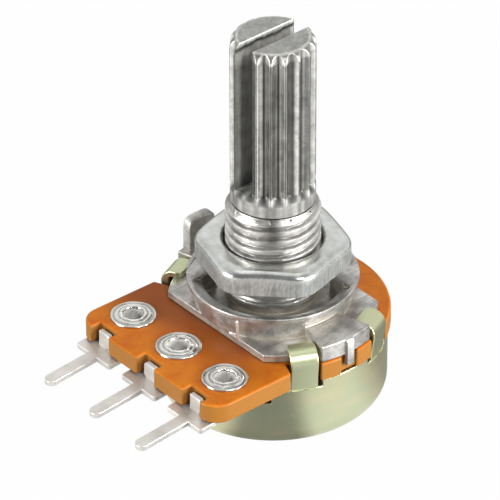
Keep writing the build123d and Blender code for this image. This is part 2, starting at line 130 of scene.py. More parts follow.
class FinishColours(bpy.types.PropertyGroup):
    """Main colours of the finishes that show most."""

    zinc: bpy.props.FloatVectorProperty(
        name="Zinc", description="Bare metal of the cast front plate",
        default=linear("#D0CECA"), subtype="COLOR", size=4, min=0.0, max=1.0)
    nickel: bpy.props.FloatVectorProperty(
        name="Nickel", description="Plating of the nut",
        default=linear("#ECEEEB"), subtype="COLOR", size=4, min=0.0, max=1.0)
    tin: bpy.props.FloatVectorProperty(
        name="Tin", description="Plating of the terminals",
        default=linear("#DCD9D3"), subtype="COLOR", size=4, min=0.0, max=1.0)
    board: bpy.props.FloatVectorProperty(
        name="Board", description="Resin of the board, in its paler cloudy parts",
        default=linear("#CD7813"), subtype="COLOR", size=4, min=0.0, max=1.0)
    film: bpy.props.FloatVectorProperty(
        name="Chromate film", description="Yellow film on the can, where it isn't green",
        default=linear("#D2CCA6"), subtype="COLOR", size=4, min=0.0, max=1.0)


class StudioSizes(bpy.types.PropertyGroup):
    """Where the camera stands, and its lens."""

    azimuth: bpy.props.FloatProperty(
        name="Azimuth", description="Direction that the camera looks from, from -Y towards +X",
        default=math.radians(50.15), subtype="ANGLE")
    elevation: bpy.props.FloatProperty(
        name="Elevation", description="Height of the camera above the horizon",
        default=math.radians(33.64), subtype="ANGLE")
    distance: bpy.props.FloatProperty(
        name="Distance", description="From the camera to the point it looks at",
        default=348.82 * MM, unit="LENGTH", subtype="DISTANCE")
    lens: bpy.props.FloatProperty(
        name="Lens", description="Focal length on a 36 mm wide sensor, in millimetres",
        default=360.0)


def add_node(tree, kind, inputs=None, **settings):
    """Adds one node. An input takes a value, or an output socket to be linked from."""
    node = tree.nodes.new(kind)
    for name, value in settings.items():
        setattr(node, name, value)
    for name, value in (inputs or {}).items():
        if isinstance(value, bpy.types.NodeSocket):
            tree.links.new(value, node.inputs[name])
        else:
            node.inputs[name].default_value = value
    return node


def feed(shader, sockets):
    """Links output sockets to a shader's inputs, each under its input's name."""
    for name, socket in sockets.items():
        shader.id_data.links.new(socket, shader.inputs[name])


def shader_of(material):
    """The Principled shader of a material."""
    return next(node for node in material.node_tree.nodes if node.type == "BSDF_PRINCIPLED")


def source_of(shader, name):
    """The socket that feeds one of a shader's inputs."""
    return shader.inputs[name].links[0].from_socket


def per_mm(size):
    """The noise scale that gives features of about this size in millimetres."""
    return 1.0 / (size * MM)


def start_material(name):
    """An empty material with its shader, output and object coordinates."""
    material = bpy.data.materials.new(name)
    material.use_nodes = True
    tree = material.node_tree
    tree.nodes.clear()
    shader = add_node(tree, "ShaderNodeBsdfPrincipled")
    add_node(tree, "ShaderNodeOutputMaterial", {"Surface": shader.outputs["BSDF"]})
    place = add_node(tree, "ShaderNodeTexCoord").outputs["Object"]
    return material, tree, shader, place


def tumbled_metal(name, light, dark, roughness, grain, relief, edge):
    """A metal with grain, cloudy tone and softened edges, as tumbling in stone leaves it. Its
    colours are linear, its roughness is a lowest and a highest, and its sizes are in millimetres.
    The real grain, under 0.1 mm, is finer than a pixel of the render, so it is drawn coarser."""
    material, tree, shader, place = start_material(name)
    cloud = add_node(tree, "ShaderNodeTexNoise", {
        "Vector": place, "Scale": per_mm(grain * 9), "Detail": 4.0, "Roughness": 0.6})
    fine = add_node(tree, "ShaderNodeTexNoise", {
        "Vector": place, "Scale": per_mm(grain), "Detail": 3.0, "Roughness": 0.55})
    tone = add_node(tree, "ShaderNodeMapRange", {
        "Value": cloud.outputs["Fac"], "From Min": 0.35, "From Max": 0.65})
    colour = add_node(tree, "ShaderNodeMix", {
        "Factor": tone.outputs["Result"], "A": dark, "B": light}, data_type="RGBA")
    gloss = add_node(tree, "ShaderNodeMapRange", {
        "Value": fine.outputs["Fac"], "From Min": 0.3, "From Max": 0.7,
        "To Min": roughness[0], "To Max": roughness[1]})
    soft = add_node(tree, "ShaderNodeBevel", {"Radius": edge * MM}, samples=6)
    bump = add_node(tree, "ShaderNodeBump", {
        "Height": fine.outputs["Fac"], "Distance": relief * MM, "Normal": soft.outputs["Normal"]})
    feed(shader, {
        "Base Color": colour.outputs["Result"], "Roughness": gloss.outputs["Result"],
        "Normal": bump.outputs["Normal"]})
    shader.inputs["Metallic"].default_value = 1.0
    return material


def with_painted_crevice_shade(material, dark, reach, strength):
    """Draws a material's colour towards a dark one in corners, within a reach in millimetres, as
    painted shade. On a metal the painted corners are rough and less metallic too."""
    corner_roughness, corner_metallic = 0.75, 0.2
    tree = material.node_tree
    shader = shader_of(material)
    # painted shade: ambient occlusion darkens the colour in corners and crevices
    corner = add_node(tree, "ShaderNodeAmbientOcclusion", {"Distance": reach * MM}, samples=8)
    corner_shade = add_node(tree, "ShaderNodeMapRange", {
        "Value": corner.outputs["AO"], "From Min": 0.25, "From Max": 0.85,
        "To Min": strength, "To Max": 0.0})
    darker = add_node(tree, "ShaderNodeMix", {
        "Factor": corner_shade.outputs["Result"], "A": source_of(shader, "Base Color"), "B": linear(dark)},
        data_type="RGBA")
    feed(shader, {"Base Color": darker.outputs["Result"]})
    if shader.inputs["Roughness"].links and not shader.inputs["Metallic"].links:
        rough = add_node(tree, "ShaderNodeMix", {
            "Factor": corner_shade.outputs["Result"], "A": source_of(shader, "Roughness"),
            "B": corner_roughness})
        bare = add_node(tree, "ShaderNodeMapRange", {
            "Value": corner_shade.outputs["Result"],
            "To Min": shader.inputs["Metallic"].default_value, "To Max": corner_metallic})
        feed(shader, {"Roughness": rough.outputs["Result"], "Metallic": bare.outputs["Result"]})
    return material


def scratched(material):
    """Draws a material's colour darker in fine scratches about 0.06 mm wide and 2 mm long, which
    cross in two directions: two noises, stretched twenty times along the scratches."""
    tree = material.node_tree
    shader = shader_of(material)
    place = next(node for node in tree.nodes if node.type == "TEX_COORD").outputs["Object"]
    marks = []
    for turn in (math.radians(25), math.radians(-50)):
        mapped = add_node(tree, "ShaderNodeMapping", {
            "Vector": place, "Rotation": (0.3, 0.0, turn), "Scale": (1.0, 0.05, 1.0)})
        line = add_node(tree, "ShaderNodeTexNoise", {
            "Vector": mapped.outputs["Vector"], "Scale": per_mm(0.12), "Detail": 2.0})
        marks.append(line.outputs["Fac"])
    crossed = add_node(tree, "ShaderNodeMath", {0: marks[0], 1: marks[1]}, operation="MAXIMUM")
    scratch = add_node(tree, "ShaderNodeMapRange", {
        "Value": crossed.outputs[0], "From Min": 0.60, "From Max": 0.72, "To Max": 0.7})
    marked = add_node(tree, "ShaderNodeMix", {
        "Factor": scratch.outputs["Result"], "A": source_of(shader, "Base Color"),
        "B": linear("#77746E")}, data_type="RGBA")
    feed(shader, {"Base Color": marked.outputs["Result"]})
    return material


def toned(material, dark):
    """Lets the tone attribute say how bright a material is: one is its own colour, and nothing is
    the dark one. The tone attribute mostly holds painted light: painted highlights on crests, rims
    and edges, and painted shade in roots, grooves, scoops and on sides."""
    tree = material.node_tree
    shader = shader_of(material)
    tone = add_node(tree, "ShaderNodeAttribute", attribute_name="tone")
    # painted light and shade, as the tone attribute gives them
    light_painted = add_node(tree, "ShaderNodeMix", {
        "Factor": tone.outputs["Fac"], "A": linear(dark), "B": source_of(shader, "Base Color")},
        data_type="RGBA")
    feed(shader, {"Base Color": light_painted.outputs["Result"]})
    return material


def with_dull_parts(material, roughness, metallic):
    """Where the dull attribute is one, the metal is rough and grey, as after a saw or in a bore."""
    tree = material.node_tree
    shader = shader_of(material)
    dull = add_node(tree, "ShaderNodeAttribute", attribute_name="dull")
    rough = add_node(tree, "ShaderNodeMix", {
        "Factor": dull.outputs["Fac"], "A": source_of(shader, "Roughness"), "B": roughness})
    bare = add_node(tree, "ShaderNodeMapRange", {
        "Value": dull.outputs["Fac"], "To Min": 1.0, "To Max": metallic})
    feed(shader, {"Roughness": rough.outputs["Result"], "Metallic": bare.outputs["Result"]})
    return material


def cast_zinc(colours):
    """Die-cast zinc, as cast and tumbled: grey, grainy and half dull, so not all of it mirrors. Its
    corners are painted darker, as shade.
    """
    metal = scratched(tumbled_metal(
        "cast_zinc", colours.zinc, linear("#95928E"), roughness=(0.28, 0.46), grain=0.16,
        relief=0.018, edge=0.06))
    shader_of(metal).inputs["Metallic"].default_value = 0.9
    # painted shade in the casting's corners
    return with_painted_crevice_shade(metal, "#A89C80", reach=0.8, strength=0.8)


def zinc_with_painted_light():
    """Die-cast zinc on the thread, the lug and the seam, with painted light as the tone attribute
    says: painted highlights on its crests and edges, and painted shade in its roots."""
    metal = tumbled_metal(
        "zinc_with_painted_light", linear("#FBF9F5"), linear("#C4C2BE"), roughness=(0.28, 0.44), grain=0.13,
        relief=0.022, edge=0.03)
    return with_dull_parts(toned(metal, "#35342F"), roughness=0.5, metallic=0.3)


def stamped_nickel(colours):
    """Nickel plate on a stamped steel nut: bluish and smooth above, and torn on the sheared sides,
    which the tone attribute paints darker and warmer, as shade."""
    metal = tumbled_metal(
        "stamped_nickel", colours.nickel, linear("#D2D4D0"), roughness=(0.17, 0.27), grain=0.12,
        relief=0.004, edge=0.06)
    return with_dull_parts(toned(metal, "#221F1B"), roughness=0.5, metallic=0.1)


def rolled_steel():
    """Plated steel rod with rolled flutes: painted highlights on the rims and painted dark
    reflections in the scoops, as the tone attribute says, with cloudy blotches, and with streaks
    stretched seventeen times along the shaft. Its corners are painted near black, as shade."""
    material, tree, shader, place = start_material("rolled_steel")
    tone = add_node(tree, "ShaderNodeAttribute", attribute_name="tone")
    along = add_node(tree, "ShaderNodeVectorMath", {
        0: place, 1: (1.0, 1.0, 0.06)}, operation="MULTIPLY")
    streak = add_node(tree, "ShaderNodeTexNoise", {
        "Vector": along.outputs[0], "Scale": per_mm(0.25), "Detail": 3.0})
    blotch = add_node(tree, "ShaderNodeTexNoise", {
        "Vector": place, "Scale": per_mm(0.9), "Detail": 5.0, "Roughness": 0.65})
    cloud = add_node(tree, "ShaderNodeMapRange", {
        "Value": blotch.outputs["Fac"], "From Min": 0.3, "From Max": 0.7,
        "To Min": 0.68, "To Max": 1.28})
    grain = add_node(tree, "ShaderNodeMapRange", {
        "Value": streak.outputs["Fac"], "From Min": 0.3, "From Max": 0.7,
        "To Min": 0.85, "To Max": 1.15})
    mottle = add_node(tree, "ShaderNodeMath", {
        0: cloud.outputs[0], 1: grain.outputs[0]}, operation="MULTIPLY")
    level = add_node(tree, "ShaderNodeMath", {
        0: tone.outputs["Fac"], 1: mottle.outputs[0]}, operation="MULTIPLY")
    colour = add_node(tree, "ShaderNodeMix", {
        "Factor": level.outputs[0], "A": linear("#0C0D0C"), "B": linear("#FFFEF8")},
        data_type="RGBA")
    gloss = add_node(tree, "ShaderNodeMapRange", {
        "Value": streak.outputs["Fac"], "From Min": 0.3, "From Max": 0.7,
        "To Min": 0.16, "To Max": 0.26})
    soft = add_node(tree, "ShaderNodeBevel", {"Radius": 0.04 * MM}, samples=6)
    bump = add_node(tree, "ShaderNodeBump", {
        "Height": blotch.outputs["Fac"], "Distance": 0.006 * MM, "Normal": soft.outputs["Normal"]})
    feed(shader, {
        "Base Color": colour.outputs["Result"], "Roughness": gloss.outputs["Result"],
        "Normal": bump.outputs["Normal"]})
    sawn = with_dull_parts(material, roughness=0.55, metallic=0.15)
    # painted shade: corners, scoops and the slot drawn near black
    return with_painted_crevice_shade(sawn, "#0D0D0D", reach=1.6, strength=0.85)


def turned_steel():
    """Plated free-cutting steel, turned: bright, slightly streaked."""
    return tumbled_metal(
        "turned_steel", linear("#D8D8D4"), linear("#B2B2AF"), roughness=(0.20, 0.32), grain=0.2,
        relief=0.006, edge=0.05)


def matt_tin(colours):
    """Dull tin plate on brass strip: chalky white, so only half a mirror."""
    material = tumbled_metal(
        "matt_tin", colours.tin, linear("#C0BDB7"), roughness=(0.32, 0.46), grain=0.25,
        relief=0.006, edge=0.04)
    shader_of(material).inputs["Metallic"].default_value = 0.6
    return material


def bright_tin():
    """Bright tin plate on a drawn brass eyelet: painted grey in the grooves of its curl as shade
    and painted bright on its rings as highlights, as the tone attribute says, and dull inside its
    bore."""
    tin = tumbled_metal(
        "bright_tin", linear("#F4F3EF"), linear("#DBD9D4"), roughness=(0.14, 0.24), grain=0.3,
        relief=0.004, edge=0.03)
    return with_dull_parts(toned(tin, "#57543F"), roughness=0.5, metallic=0.1)


def oiled_spring_steel():
    """Hardened spring steel, blackened and oiled: dark grey, with a soft sheen."""
    return tumbled_metal(
        "oiled_spring_steel", linear("#6E6E70"), linear("#4C4C4E"), roughness=(0.30, 0.42),
        grain=0.2, relief=0.004, edge=0.04)


def bronze_strip():
    """Phosphor bronze strip, rolled and stamped: warm and bright."""
    return tumbled_metal(
        "bronze_strip", linear("#D9A066"), linear("#B97E4A"), roughness=(0.22, 0.34), grain=0.2,
        relief=0.004, edge=0.03)


def yellow_passivated_steel(colours):
    """Zinc plate under a yellow chromate film: satin, olive, with green-grey patches and straw
    drifts, four times as long round the can as up it, and greener from 3.6 mm up to the tabs."""
    material, tree, shader, place = start_material("yellow_passivated_steel")
    patch = add_node(tree, "ShaderNodeTexNoise", {
        "Vector": place, "Scale": per_mm(5.0), "Detail": 3.0, "Roughness": 0.5})
    streak = add_node(tree, "ShaderNodeVectorMath", {
        0: place, 1: (0.6, 0.6, 2.4)}, operation="MULTIPLY")
    drift = add_node(tree, "ShaderNodeTexNoise", {
        "Vector": streak.outputs[0], "Scale": per_mm(2.2), "Detail": 4.0, "Roughness": 0.6})
    grain = add_node(tree, "ShaderNodeTexNoise", {
        "Vector": place, "Scale": per_mm(0.22), "Detail": 3.0})
    green = add_node(tree, "ShaderNodeMapRange", {
        "Value": patch.outputs["Fac"], "From Min": 0.38, "From Max": 0.62})
    straw = add_node(tree, "ShaderNodeMapRange", {
        "Value": drift.outputs["Fac"], "From Min": 0.35, "From Max": 0.7, "To Max": 0.6})
    film = add_node(tree, "ShaderNodeMix", {
        "Factor": green.outputs["Result"], "A": colours.film, "B": linear("#C3CDAB")},
        data_type="RGBA")
    colour = add_node(tree, "ShaderNodeMix", {
        "Factor": straw.outputs["Result"], "A": film.outputs["Result"], "B": linear("#DCD2AE")},
        data_type="RGBA")
    axes = add_node(tree, "ShaderNodeSeparateXYZ", {"Vector": place})
    raised = add_node(tree, "ShaderNodeMapRange", {
        "Value": axes.outputs["Z"], "From Min": 3.6 * MM, "From Max": 6.2 * MM, "To Max": 0.5})
    tinted = add_node(tree, "ShaderNodeMix", {
        "Factor": raised.outputs["Result"], "A": colour.outputs["Result"], "B": linear("#ABBB96")},
        data_type="RGBA")
    gloss = add_node(tree, "ShaderNodeMapRange", {
        "Value": grain.outputs["Fac"], "From Min": 0.3, "From Max": 0.7,
        "To Min": 0.30, "To Max": 0.37})
    soft = add_node(tree, "ShaderNodeBevel", {"Radius": 0.05 * MM}, samples=6)
    bump = add_node(tree, "ShaderNodeBump", {
        "Height": grain.outputs["Fac"], "Distance": 0.001 * MM, "Normal": soft.outputs["Normal"]})
    feed(shader, {
        "Base Color": tinted.outputs["Result"], "Roughness": gloss.outputs["Result"],
        "Normal": bump.outputs["Normal"]})
    shader.inputs["Metallic"].default_value = 1.0
    return material


def phenolic_paper(colours):
    """Orange phenolic paper, sheared from sheet: resin over mottled paper, painted browner in a
    wavering band beside the riveted plate as shade, more on the left than on the right, and dull
    and browner on its cut edges, partly from the cut paper's own colour and partly as painted
    shade. Its corners are painted dark, as shade."""
    material, tree, shader, place = start_material("phenolic_paper")
    mottle = add_node(tree, "ShaderNodeTexNoise", {
        "Vector": place, "Scale": per_mm(1.5), "Detail": 5.0, "Roughness": 0.62, "Distortion": 0.4})
    fibre = add_node(tree, "ShaderNodeTexNoise", {
        "Vector": place, "Scale": per_mm(0.2), "Detail": 3.0})
    tone = add_node(tree, "ShaderNodeMapRange", {
        "Value": mottle.outputs["Fac"], "From Min": 0.3, "From Max": 0.7})
    colour = add_node(tree, "ShaderNodeMix", {
        "Factor": tone.outputs["Result"], "A": linear("#B95B06"), "B": colours.board},
        data_type="RGBA")
    axes = add_node(tree, "ShaderNodeSeparateXYZ", {"Vector": place})
    # painted shade: a browner band beside the riveted plate, where the plate's shade and dark
    # reflection fall
    waver = add_node(tree, "ShaderNodeMath", {
        0: mottle.outputs["Fac"], 1: 1.6 * MM, 2: axes.outputs["Y"]}, operation="MULTIPLY_ADD")
    beside = add_node(tree, "ShaderNodeMath", {
        0: waver.outputs[0], 1: -4.6 * MM}, operation="SUBTRACT")
    apart = add_node(tree, "ShaderNodeMath", {0: beside.outputs[0]}, operation="ABSOLUTE")
    plate_shade = add_node(tree, "ShaderNodeMapRange", {
        "Value": apart.outputs[0], "From Min": 0.8 * MM, "From Max": 4.6 * MM,
        "To Min": 0.9, "To Max": 0.0}, interpolation_type="SMOOTHSTEP")
    far_side = add_node(tree, "ShaderNodeMapRange", {
        "Value": axes.outputs["X"], "From Min": 3.0 * MM, "From Max": 7.0 * MM,
        "To Min": 1.0, "To Max": 0.15})
    plate_shade_share = add_node(tree, "ShaderNodeMath", {
        0: plate_shade.outputs["Result"], 1: far_side.outputs["Result"]}, operation="MULTIPLY")
    plate_shaded = add_node(tree, "ShaderNodeMix", {
        "Factor": plate_shade_share.outputs[0], "A": colour.outputs["Result"], "B": linear("#8A430C")},
        data_type="RGBA")
    # cut edges browner: partly the cut paper's own colour and partly painted shade
    upright = add_node(tree, "ShaderNodeSeparateXYZ", {
        "Vector": add_node(tree, "ShaderNodeNewGeometry").outputs["Normal"]})
    level = add_node(tree, "ShaderNodeMath", {0: upright.outputs["Z"]}, operation="ABSOLUTE")
    cut = add_node(tree, "ShaderNodeMapRange", {
        "Value": level.outputs[0], "From Min": 0.15, "From Max": 0.75,
        "To Min": 1.0, "To Max": 0.0})
    edged = add_node(tree, "ShaderNodeMix", {
        "Factor": cut.outputs["Result"], "A": plate_shaded.outputs["Result"], "B": linear("#A06A2C")},
        data_type="RGBA")
    soft = add_node(tree, "ShaderNodeBevel", {"Radius": 0.05 * MM}, samples=6)
    bump = add_node(tree, "ShaderNodeBump", {
        "Height": fibre.outputs["Fac"], "Distance": 0.005 * MM, "Normal": soft.outputs["Normal"]})
    feed(shader, {"Base Color": edged.outputs["Result"], "Normal": bump.outputs["Normal"]})
    shader.inputs["Roughness"].default_value = 0.36
    shader.inputs["IOR"].default_value = 1.42
    shader.inputs["Specular IOR Level"].default_value = 0.25
    # painted shade in the corners, along the plate and round the eyelets
    return with_painted_crevice_shade(material, "#4A1D06", reach=0.45, strength=0.85)


def plain_print(name, light, dark, roughness, metallic):
    """A printed ink or a moulding: one tone with a fine mottle."""
    material, tree, shader, place = start_material(name)
    mottle = add_node(tree, "ShaderNodeTexNoise", {
        "Vector": place, "Scale": per_mm(0.3), "Detail": 3.0})
    colour = add_node(tree, "ShaderNodeMix", {
        "Factor": mottle.outputs["Fac"], "A": linear(dark), "B": linear(light)}, data_type="RGBA")
    bump = add_node(tree, "ShaderNodeBump", {
        "Height": mottle.outputs["Fac"], "Distance": 0.003 * MM})
    feed(shader, {"Base Color": colour.outputs["Result"], "Normal": bump.outputs["Normal"]})
    shader.inputs["Roughness"].default_value = roughness
    shader.inputs["Metallic"].default_value = metallic
    return material


def carbon_ink():
    """Screen-printed carbon resin: near black and matt."""
    return plain_print("carbon_ink", "#262628", "#161618", roughness=0.6, metallic=0.0)


def silver_ink():
    """Screen-printed silver resin: pale grey and matt."""
    return plain_print("silver_ink", "#C9C9CA", "#A9A9AB", roughness=0.5, metallic=0.7)


def natural_nylon():
    """Natural moulded nylon: off-white and satin."""
    return plain_print("natural_nylon", "#E6E3D8", "#D6D2C6", roughness=0.45, metallic=0.0)


def give_material(piece, material):
    """Puts one material in every slot of a piece, or adds the slot it lacks."""
    if not piece.material_slots:
        piece.data.materials.append(material)
    for slot in piece.material_slots:
        slot.material = material


def surface_mesh(name, points, **paint):
    """A mesh from a grid of points: rows are stations along the profile, and columns go round and
    close. Rows that shrink to one point are merged into a pole. Each paint is a named value on
    every point."""
    rows, columns = points.shape[:2]
    index = np.arange(rows * columns).reshape(rows, columns)
    ahead = np.roll(index, -1, axis=1)
    quads = np.stack([index[:-1], ahead[:-1], ahead[1:], index[1:]], axis=-1).reshape(-1, 4)
    mesh = bpy.data.meshes.new(name)
    mesh.from_pydata(points.reshape(-1, 3), [], quads.tolist())
    for layer, values in paint.items():
        attribute = mesh.attributes.new(layer, "FLOAT", "POINT")
        attribute.data.foreach_set("value", np.broadcast_to(values, (rows, columns)).ravel())
    work = bmesh.new()
    work.from_mesh(mesh)
    bmesh.ops.remove_doubles(work, verts=work.verts, dist=1e-7)
    work.to_mesh(mesh)
    work.free()
    mesh.shade_smooth()
    mesh.set_sharp_from_angle(angle=math.radians(38))
    return mesh


def joined(name, *meshes):
    """One mesh out of several, each a closed shell of its own."""
    work = bmesh.new()
    for mesh in meshes:
        work.from_mesh(mesh)
        bpy.data.meshes.remove(mesh)
    whole = bpy.data.meshes.new(name)
    work.to_mesh(whole)
    work.free()
    return whole


def add_piece(name, mesh, body, slot, material, *nodes):
    """Links a finished piece, lets it ride on its body and names the nodes it stands for."""
    piece = bpy.data.objects.new(name, mesh)
    bpy.context.scene.collection.objects.link(piece)
    give_material(piece, material)
    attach(piece, body)
    if nodes:
        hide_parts(*nodes)
    return piece


def about_axis(radius, angle, height):
    """A grid of points from their radius, their angle round the shaft axis and their height."""
    across, upward = np.broadcast_arrays(radius * np.cos(angle), height)
    return np.stack([across, radius * np.sin(angle), upward], axis=-1)


def turned(x, y, height, angle):
    """A grid of points from x, y and height, turned by an angle round the shaft axis."""
    across, upward = np.broadcast_arrays(x * math.cos(angle) - y * math.sin(angle), height)
    return np.stack([across, x * math.sin(angle) + y * math.cos(angle), upward], axis=-1)


def ramp(value, start, length):
    """Nothing up to a start, one from the start plus a length on, and a straight rise between."""
    return np.clip((value - start) / length, 0, 1)


def smooth_step(share):
    """A share from nothing to one, eased at both ends."""
    return share * share * (3 - 2 * share)


def off_nearest(angle, middle, pitch):
    """How far an angle is from the nearest of the directions that stand a pitch apart, of which one
    is middle."""
    return np.abs(np.mod(angle - middle + pitch / 2, pitch) - pitch / 2)


def soft_min(first, second, width):
    """The lesser of two lengths, rounded over a width where they cross."""
    blend = np.clip(0.5 + 0.5 * (second - first) / width, 0, 1)
    return second * (1 - blend) + first * blend - width * blend * (1 - blend)


def cad_copy(node, reshape=None, keep=None, at_hole=None, merge=0.001):
    """A merged copy of a CAD node: its points reshaped and some faces left out, as the caller says,
    and points nearer than merge, in millimetres, made one. Flat triangles become larger faces, but
    not round the holes, which such a face would cover."""
    work = bmesh.new()
    work.from_mesh(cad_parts[node].data)
    bmesh.ops.remove_doubles(work, verts=work.verts, dist=merge * MM)
    joints = [
        edge for edge in work.edges
        if not (at_hole and any(at_hole(vert.co) for vert in edge.verts))]
    bmesh.ops.dissolve_limit(work, angle_limit=math.radians(0.5), verts=work.verts, edges=joints)
    if keep is not None:
        gone = [face for face in work.faces if not keep(face.calc_center_median())]
        bmesh.ops.delete(work, geom=gone, context="FACES")
    work.verts.index_update()
    points = np.array([v.co for v in work.verts])
    faces = [[v.index for v in face.verts] for face in work.faces]
    work.free()
    if reshape is not None:
        points = reshape(points)
    mesh = bpy.data.meshes.new(node + "_copy")
    mesh.from_pydata(points.tolist(), [], faces)
    return mesh


def round_edges(piece, width, share=None):
    """Rounds the edges of a piece that turn by more than 32 degrees, over a width in millimetres,
    or over the share of it that is right for the middle of an edge."""
    limit = math.radians(32)
    work = bmesh.new()
    work.from_mesh(piece.data)
    weight = work.edges.layers.float.new("bevel_weight_edge")
    for edge in work.edges:
        if len(edge.link_faces) == 2 and edge.calc_face_angle() > limit:
            middle = (edge.verts[0].co + edge.verts[1].co) / 2
            edge[weight] = share(middle) if share else 1.0
    work.to_mesh(piece.data)
    work.free()
    piece.data.shade_smooth()
    piece.data.set_sharp_from_angle(angle=limit)
    bevel = piece.modifiers.new("rounded_edges", "BEVEL")
    bevel.width = width * MM
    bevel.segments = 3
    bevel.limit_method = "WEIGHT"
    bevel.use_clamp_overlap = False
    bevel.harden_normals = True


MOULD_PARTING = math.radians(-39.85)  # where the two halves of the mould met, round the axis
THREAD_FOOT = 8.5 * MM
THREAD_CORE = 2.60 * MM  # radius at which the thread's sleeve closes inside the bushing


def thread_points(sizes):
    """Radius against height and angle: a core plus a rounded trapezium that climbs one pitch in a
    turn, cut by a cone at the top and by two flats where the mould parted."""
    columns, rows = 288, 190
    crest_height = 13.12 * MM  # of a crest at the parting
    run_in_length = 0.6 * MM
    cone_top, cone_slope = 3.0 * MM, 0.56
    angle = np.linspace(0, 2 * math.pi, columns, endpoint=False)[None, :]
    height = np.linspace(THREAD_FOOT, BUSHING_TOP, rows)[:, None]
    phase = (height - crest_height) / sizes.pitch - (angle - MOULD_PARTING) / (2 * math.pi)
    wave = 0.5 + 0.5 * np.cos(2 * math.pi * phase)
    tooth = smooth_step(ramp(wave, 0.18, 0.56))  # the lowest 0.18 is root, the highest 0.26 crest
    run_in = ramp(height, THREAD_FOOT, run_in_length)
    crest = sizes.major / 2
    radius = crest - sizes.depth * (1 - tooth) * run_in
    cone = cone_top + (BUSHING_TOP - height) * cone_slope
    radius = soft_min(radius, cone, 0.05 * MM)
    for parting in (MOULD_PARTING, MOULD_PARTING + math.pi):
        facing = np.cos(angle - parting)
        flat = np.where(facing > 0.5, sizes.parting_flat / 2 / np.maximum(facing, 0.5), 1.0)
        radius = soft_min(radius, flat + 0 * height, 0.02 * MM)
    return angle, height, radius


def thread_mesh(sizes):
    """The threaded sleeve of the bushing, closed at its foot, top and bore. Its crests are painted
    bright as highlights and its roots painted dark as shade, and the parting seam is dark and
    finely knurled over the upper turns."""
    seam_foot, seam_rise = 13.6 * MM, 0.4 * MM
    knurl_height, knurl_count = 0.045 * MM, 150
    root_tone, crest_gain = 0.42, 0.42
    angle, height, radius = thread_points(sizes)
    outside = about_axis(radius, angle, height)
    rims = []
    for row in (0, -1):
        rim = outside[row].copy()
        rim[:, :2] *= (THREAD_CORE / np.hypot(rim[:, 0], rim[:, 1]))[:, None]
        rims.append(rim)
    loop = np.concatenate([rims[0][None], outside, rims[1][None], rims[0][None]])
    crest = ramp(radius, sizes.major / 2 - sizes.depth, sizes.depth)
    off_seam = np.degrees(off_nearest(angle, MOULD_PARTING, math.pi))
    seam = np.clip(1.4 - off_seam / 8, 0, 1) * ramp(height, seam_foot, seam_rise)
    knurl = 0.5 + 0.5 * np.sin(height / knurl_height) * np.sin(angle * knurl_count)
    # painted light: crests painted bright as highlights, roots painted dark as shade
    tone = (root_tone + crest_gain * crest ** 1.3) * (1 - seam * (0.35 + 0.4 * knurl))
    tone = np.concatenate([tone[:1], tone, np.full_like(tone[:1], 0.7), tone[:1]])
    return surface_mesh("bushing_thread", loop, tone=tone, dull=0.15)


NUT_FLAT = math.radians(15)  # a direction that one of the flats faces, round the axis


def nut_mesh(sizes):
    """Radius against angle: a hexagon with rounded corners. The top falls to it in a quarter
    ellipse and by a shallow cone at the corners, and the foot has a small bevel. The sheared sides
    are torn in seeded streaks, half of them the full height."""
    columns, side_rows = 360, 5
    drop = 0.42 * MM  # of the rolled edge
    lip = 0.16 * MM  # of the bore's rounded mouth
    bevel, side_foot = 0.10 * MM, 0.12 * MM
    corner_blend = 0.22 * MM
    cone_start, cone_fall = 4.55 * MM, 0.22
    bore, edge = sizes.bore / 2, sizes.edge
    angle = np.linspace(0, 2 * math.pi, columns, endpoint=False)
    flat = sizes.across_flats / 2 / np.cos(off_nearest(angle, NUT_FLAT, math.radians(60)))
    outline = soft_min(flat, np.full_like(flat, sizes.across_corners / 2), corner_blend)

    inner = np.linspace(0, 1, 14)[:, None]
    sweep = np.linspace(0, math.pi / 2, 12)[1:, None]
    shelf = bore + lip + (outline - edge - bore - lip) * inner
    rolled = outline - edge + edge * np.sin(sweep)
    radius = np.concatenate([shelf, rolled])
    fall = np.concatenate([0 * shelf, drop * (1 - np.cos(sweep)) + 0 * rolled])
    height = NUT_TOP - fall - np.maximum(radius - cone_start, 0) * cone_fall

    wall = np.linspace(0, 1, side_rows + 1)[1:, None]
    side_height = height[-1] + (NUT_FOOT + side_foot - height[-1]) * wall
    side_radius = outline + 0 * wall
    closing_radius = np.stack([
        outline - bevel, bore + bevel + 0 * outline, bore + 0 * outline, bore + 0 * outline,
        bore + 0.4 * lip + 0 * outline, radius[0]])
    closing_height = np.stack([
        NUT_FOOT + 0 * outline, NUT_FOOT + 0 * outline, NUT_FOOT + bevel + 0 * outline,
        NUT_TOP - lip + 0 * outline, NUT_TOP - 0.4 * lip + 0 * outline, height[0]])
    points = about_axis(
        np.concatenate([radius, side_radius, closing_radius]), angle,
        np.concatenate([height, side_height, closing_height]))

    # the first 14 rows are the level top, and the next 11 the rolled edge
    top_rows = len(height)
    # painted light: the level top is painted bright, with a painted highlight band on the rolled
    # edge, and the sides and bore are painted darker, as shade; the torn streaks on the sides are
    # the metal's own
    top_tone = np.interp(np.arange(top_rows), [0, 12, 17, 22, 24], [0.82, 0.82, 0.66, 0.9, 0.6])
    tone = np.concatenate([top_tone, np.full(side_rows, 0.42), [0.62, 0.62], np.full(4, 0.4)])
    dull = np.interp(np.arange(len(tone)), [21, 25, 29, 31], [0.0, 0.6, 0.6, 0.4])
    torn = np.random.default_rng(7).random((side_rows, columns))
    torn = 0.5 * torn + 0.5 * torn.mean(axis=0)
    tone = np.repeat(tone[:, None], columns, axis=1)
    tone[top_rows:top_rows + side_rows] += 0.42 * (torn - 0.5)
    return surface_mesh("stamped_nut", points[::-1], tone=tone[::-1], dull=dull[::-1, None])


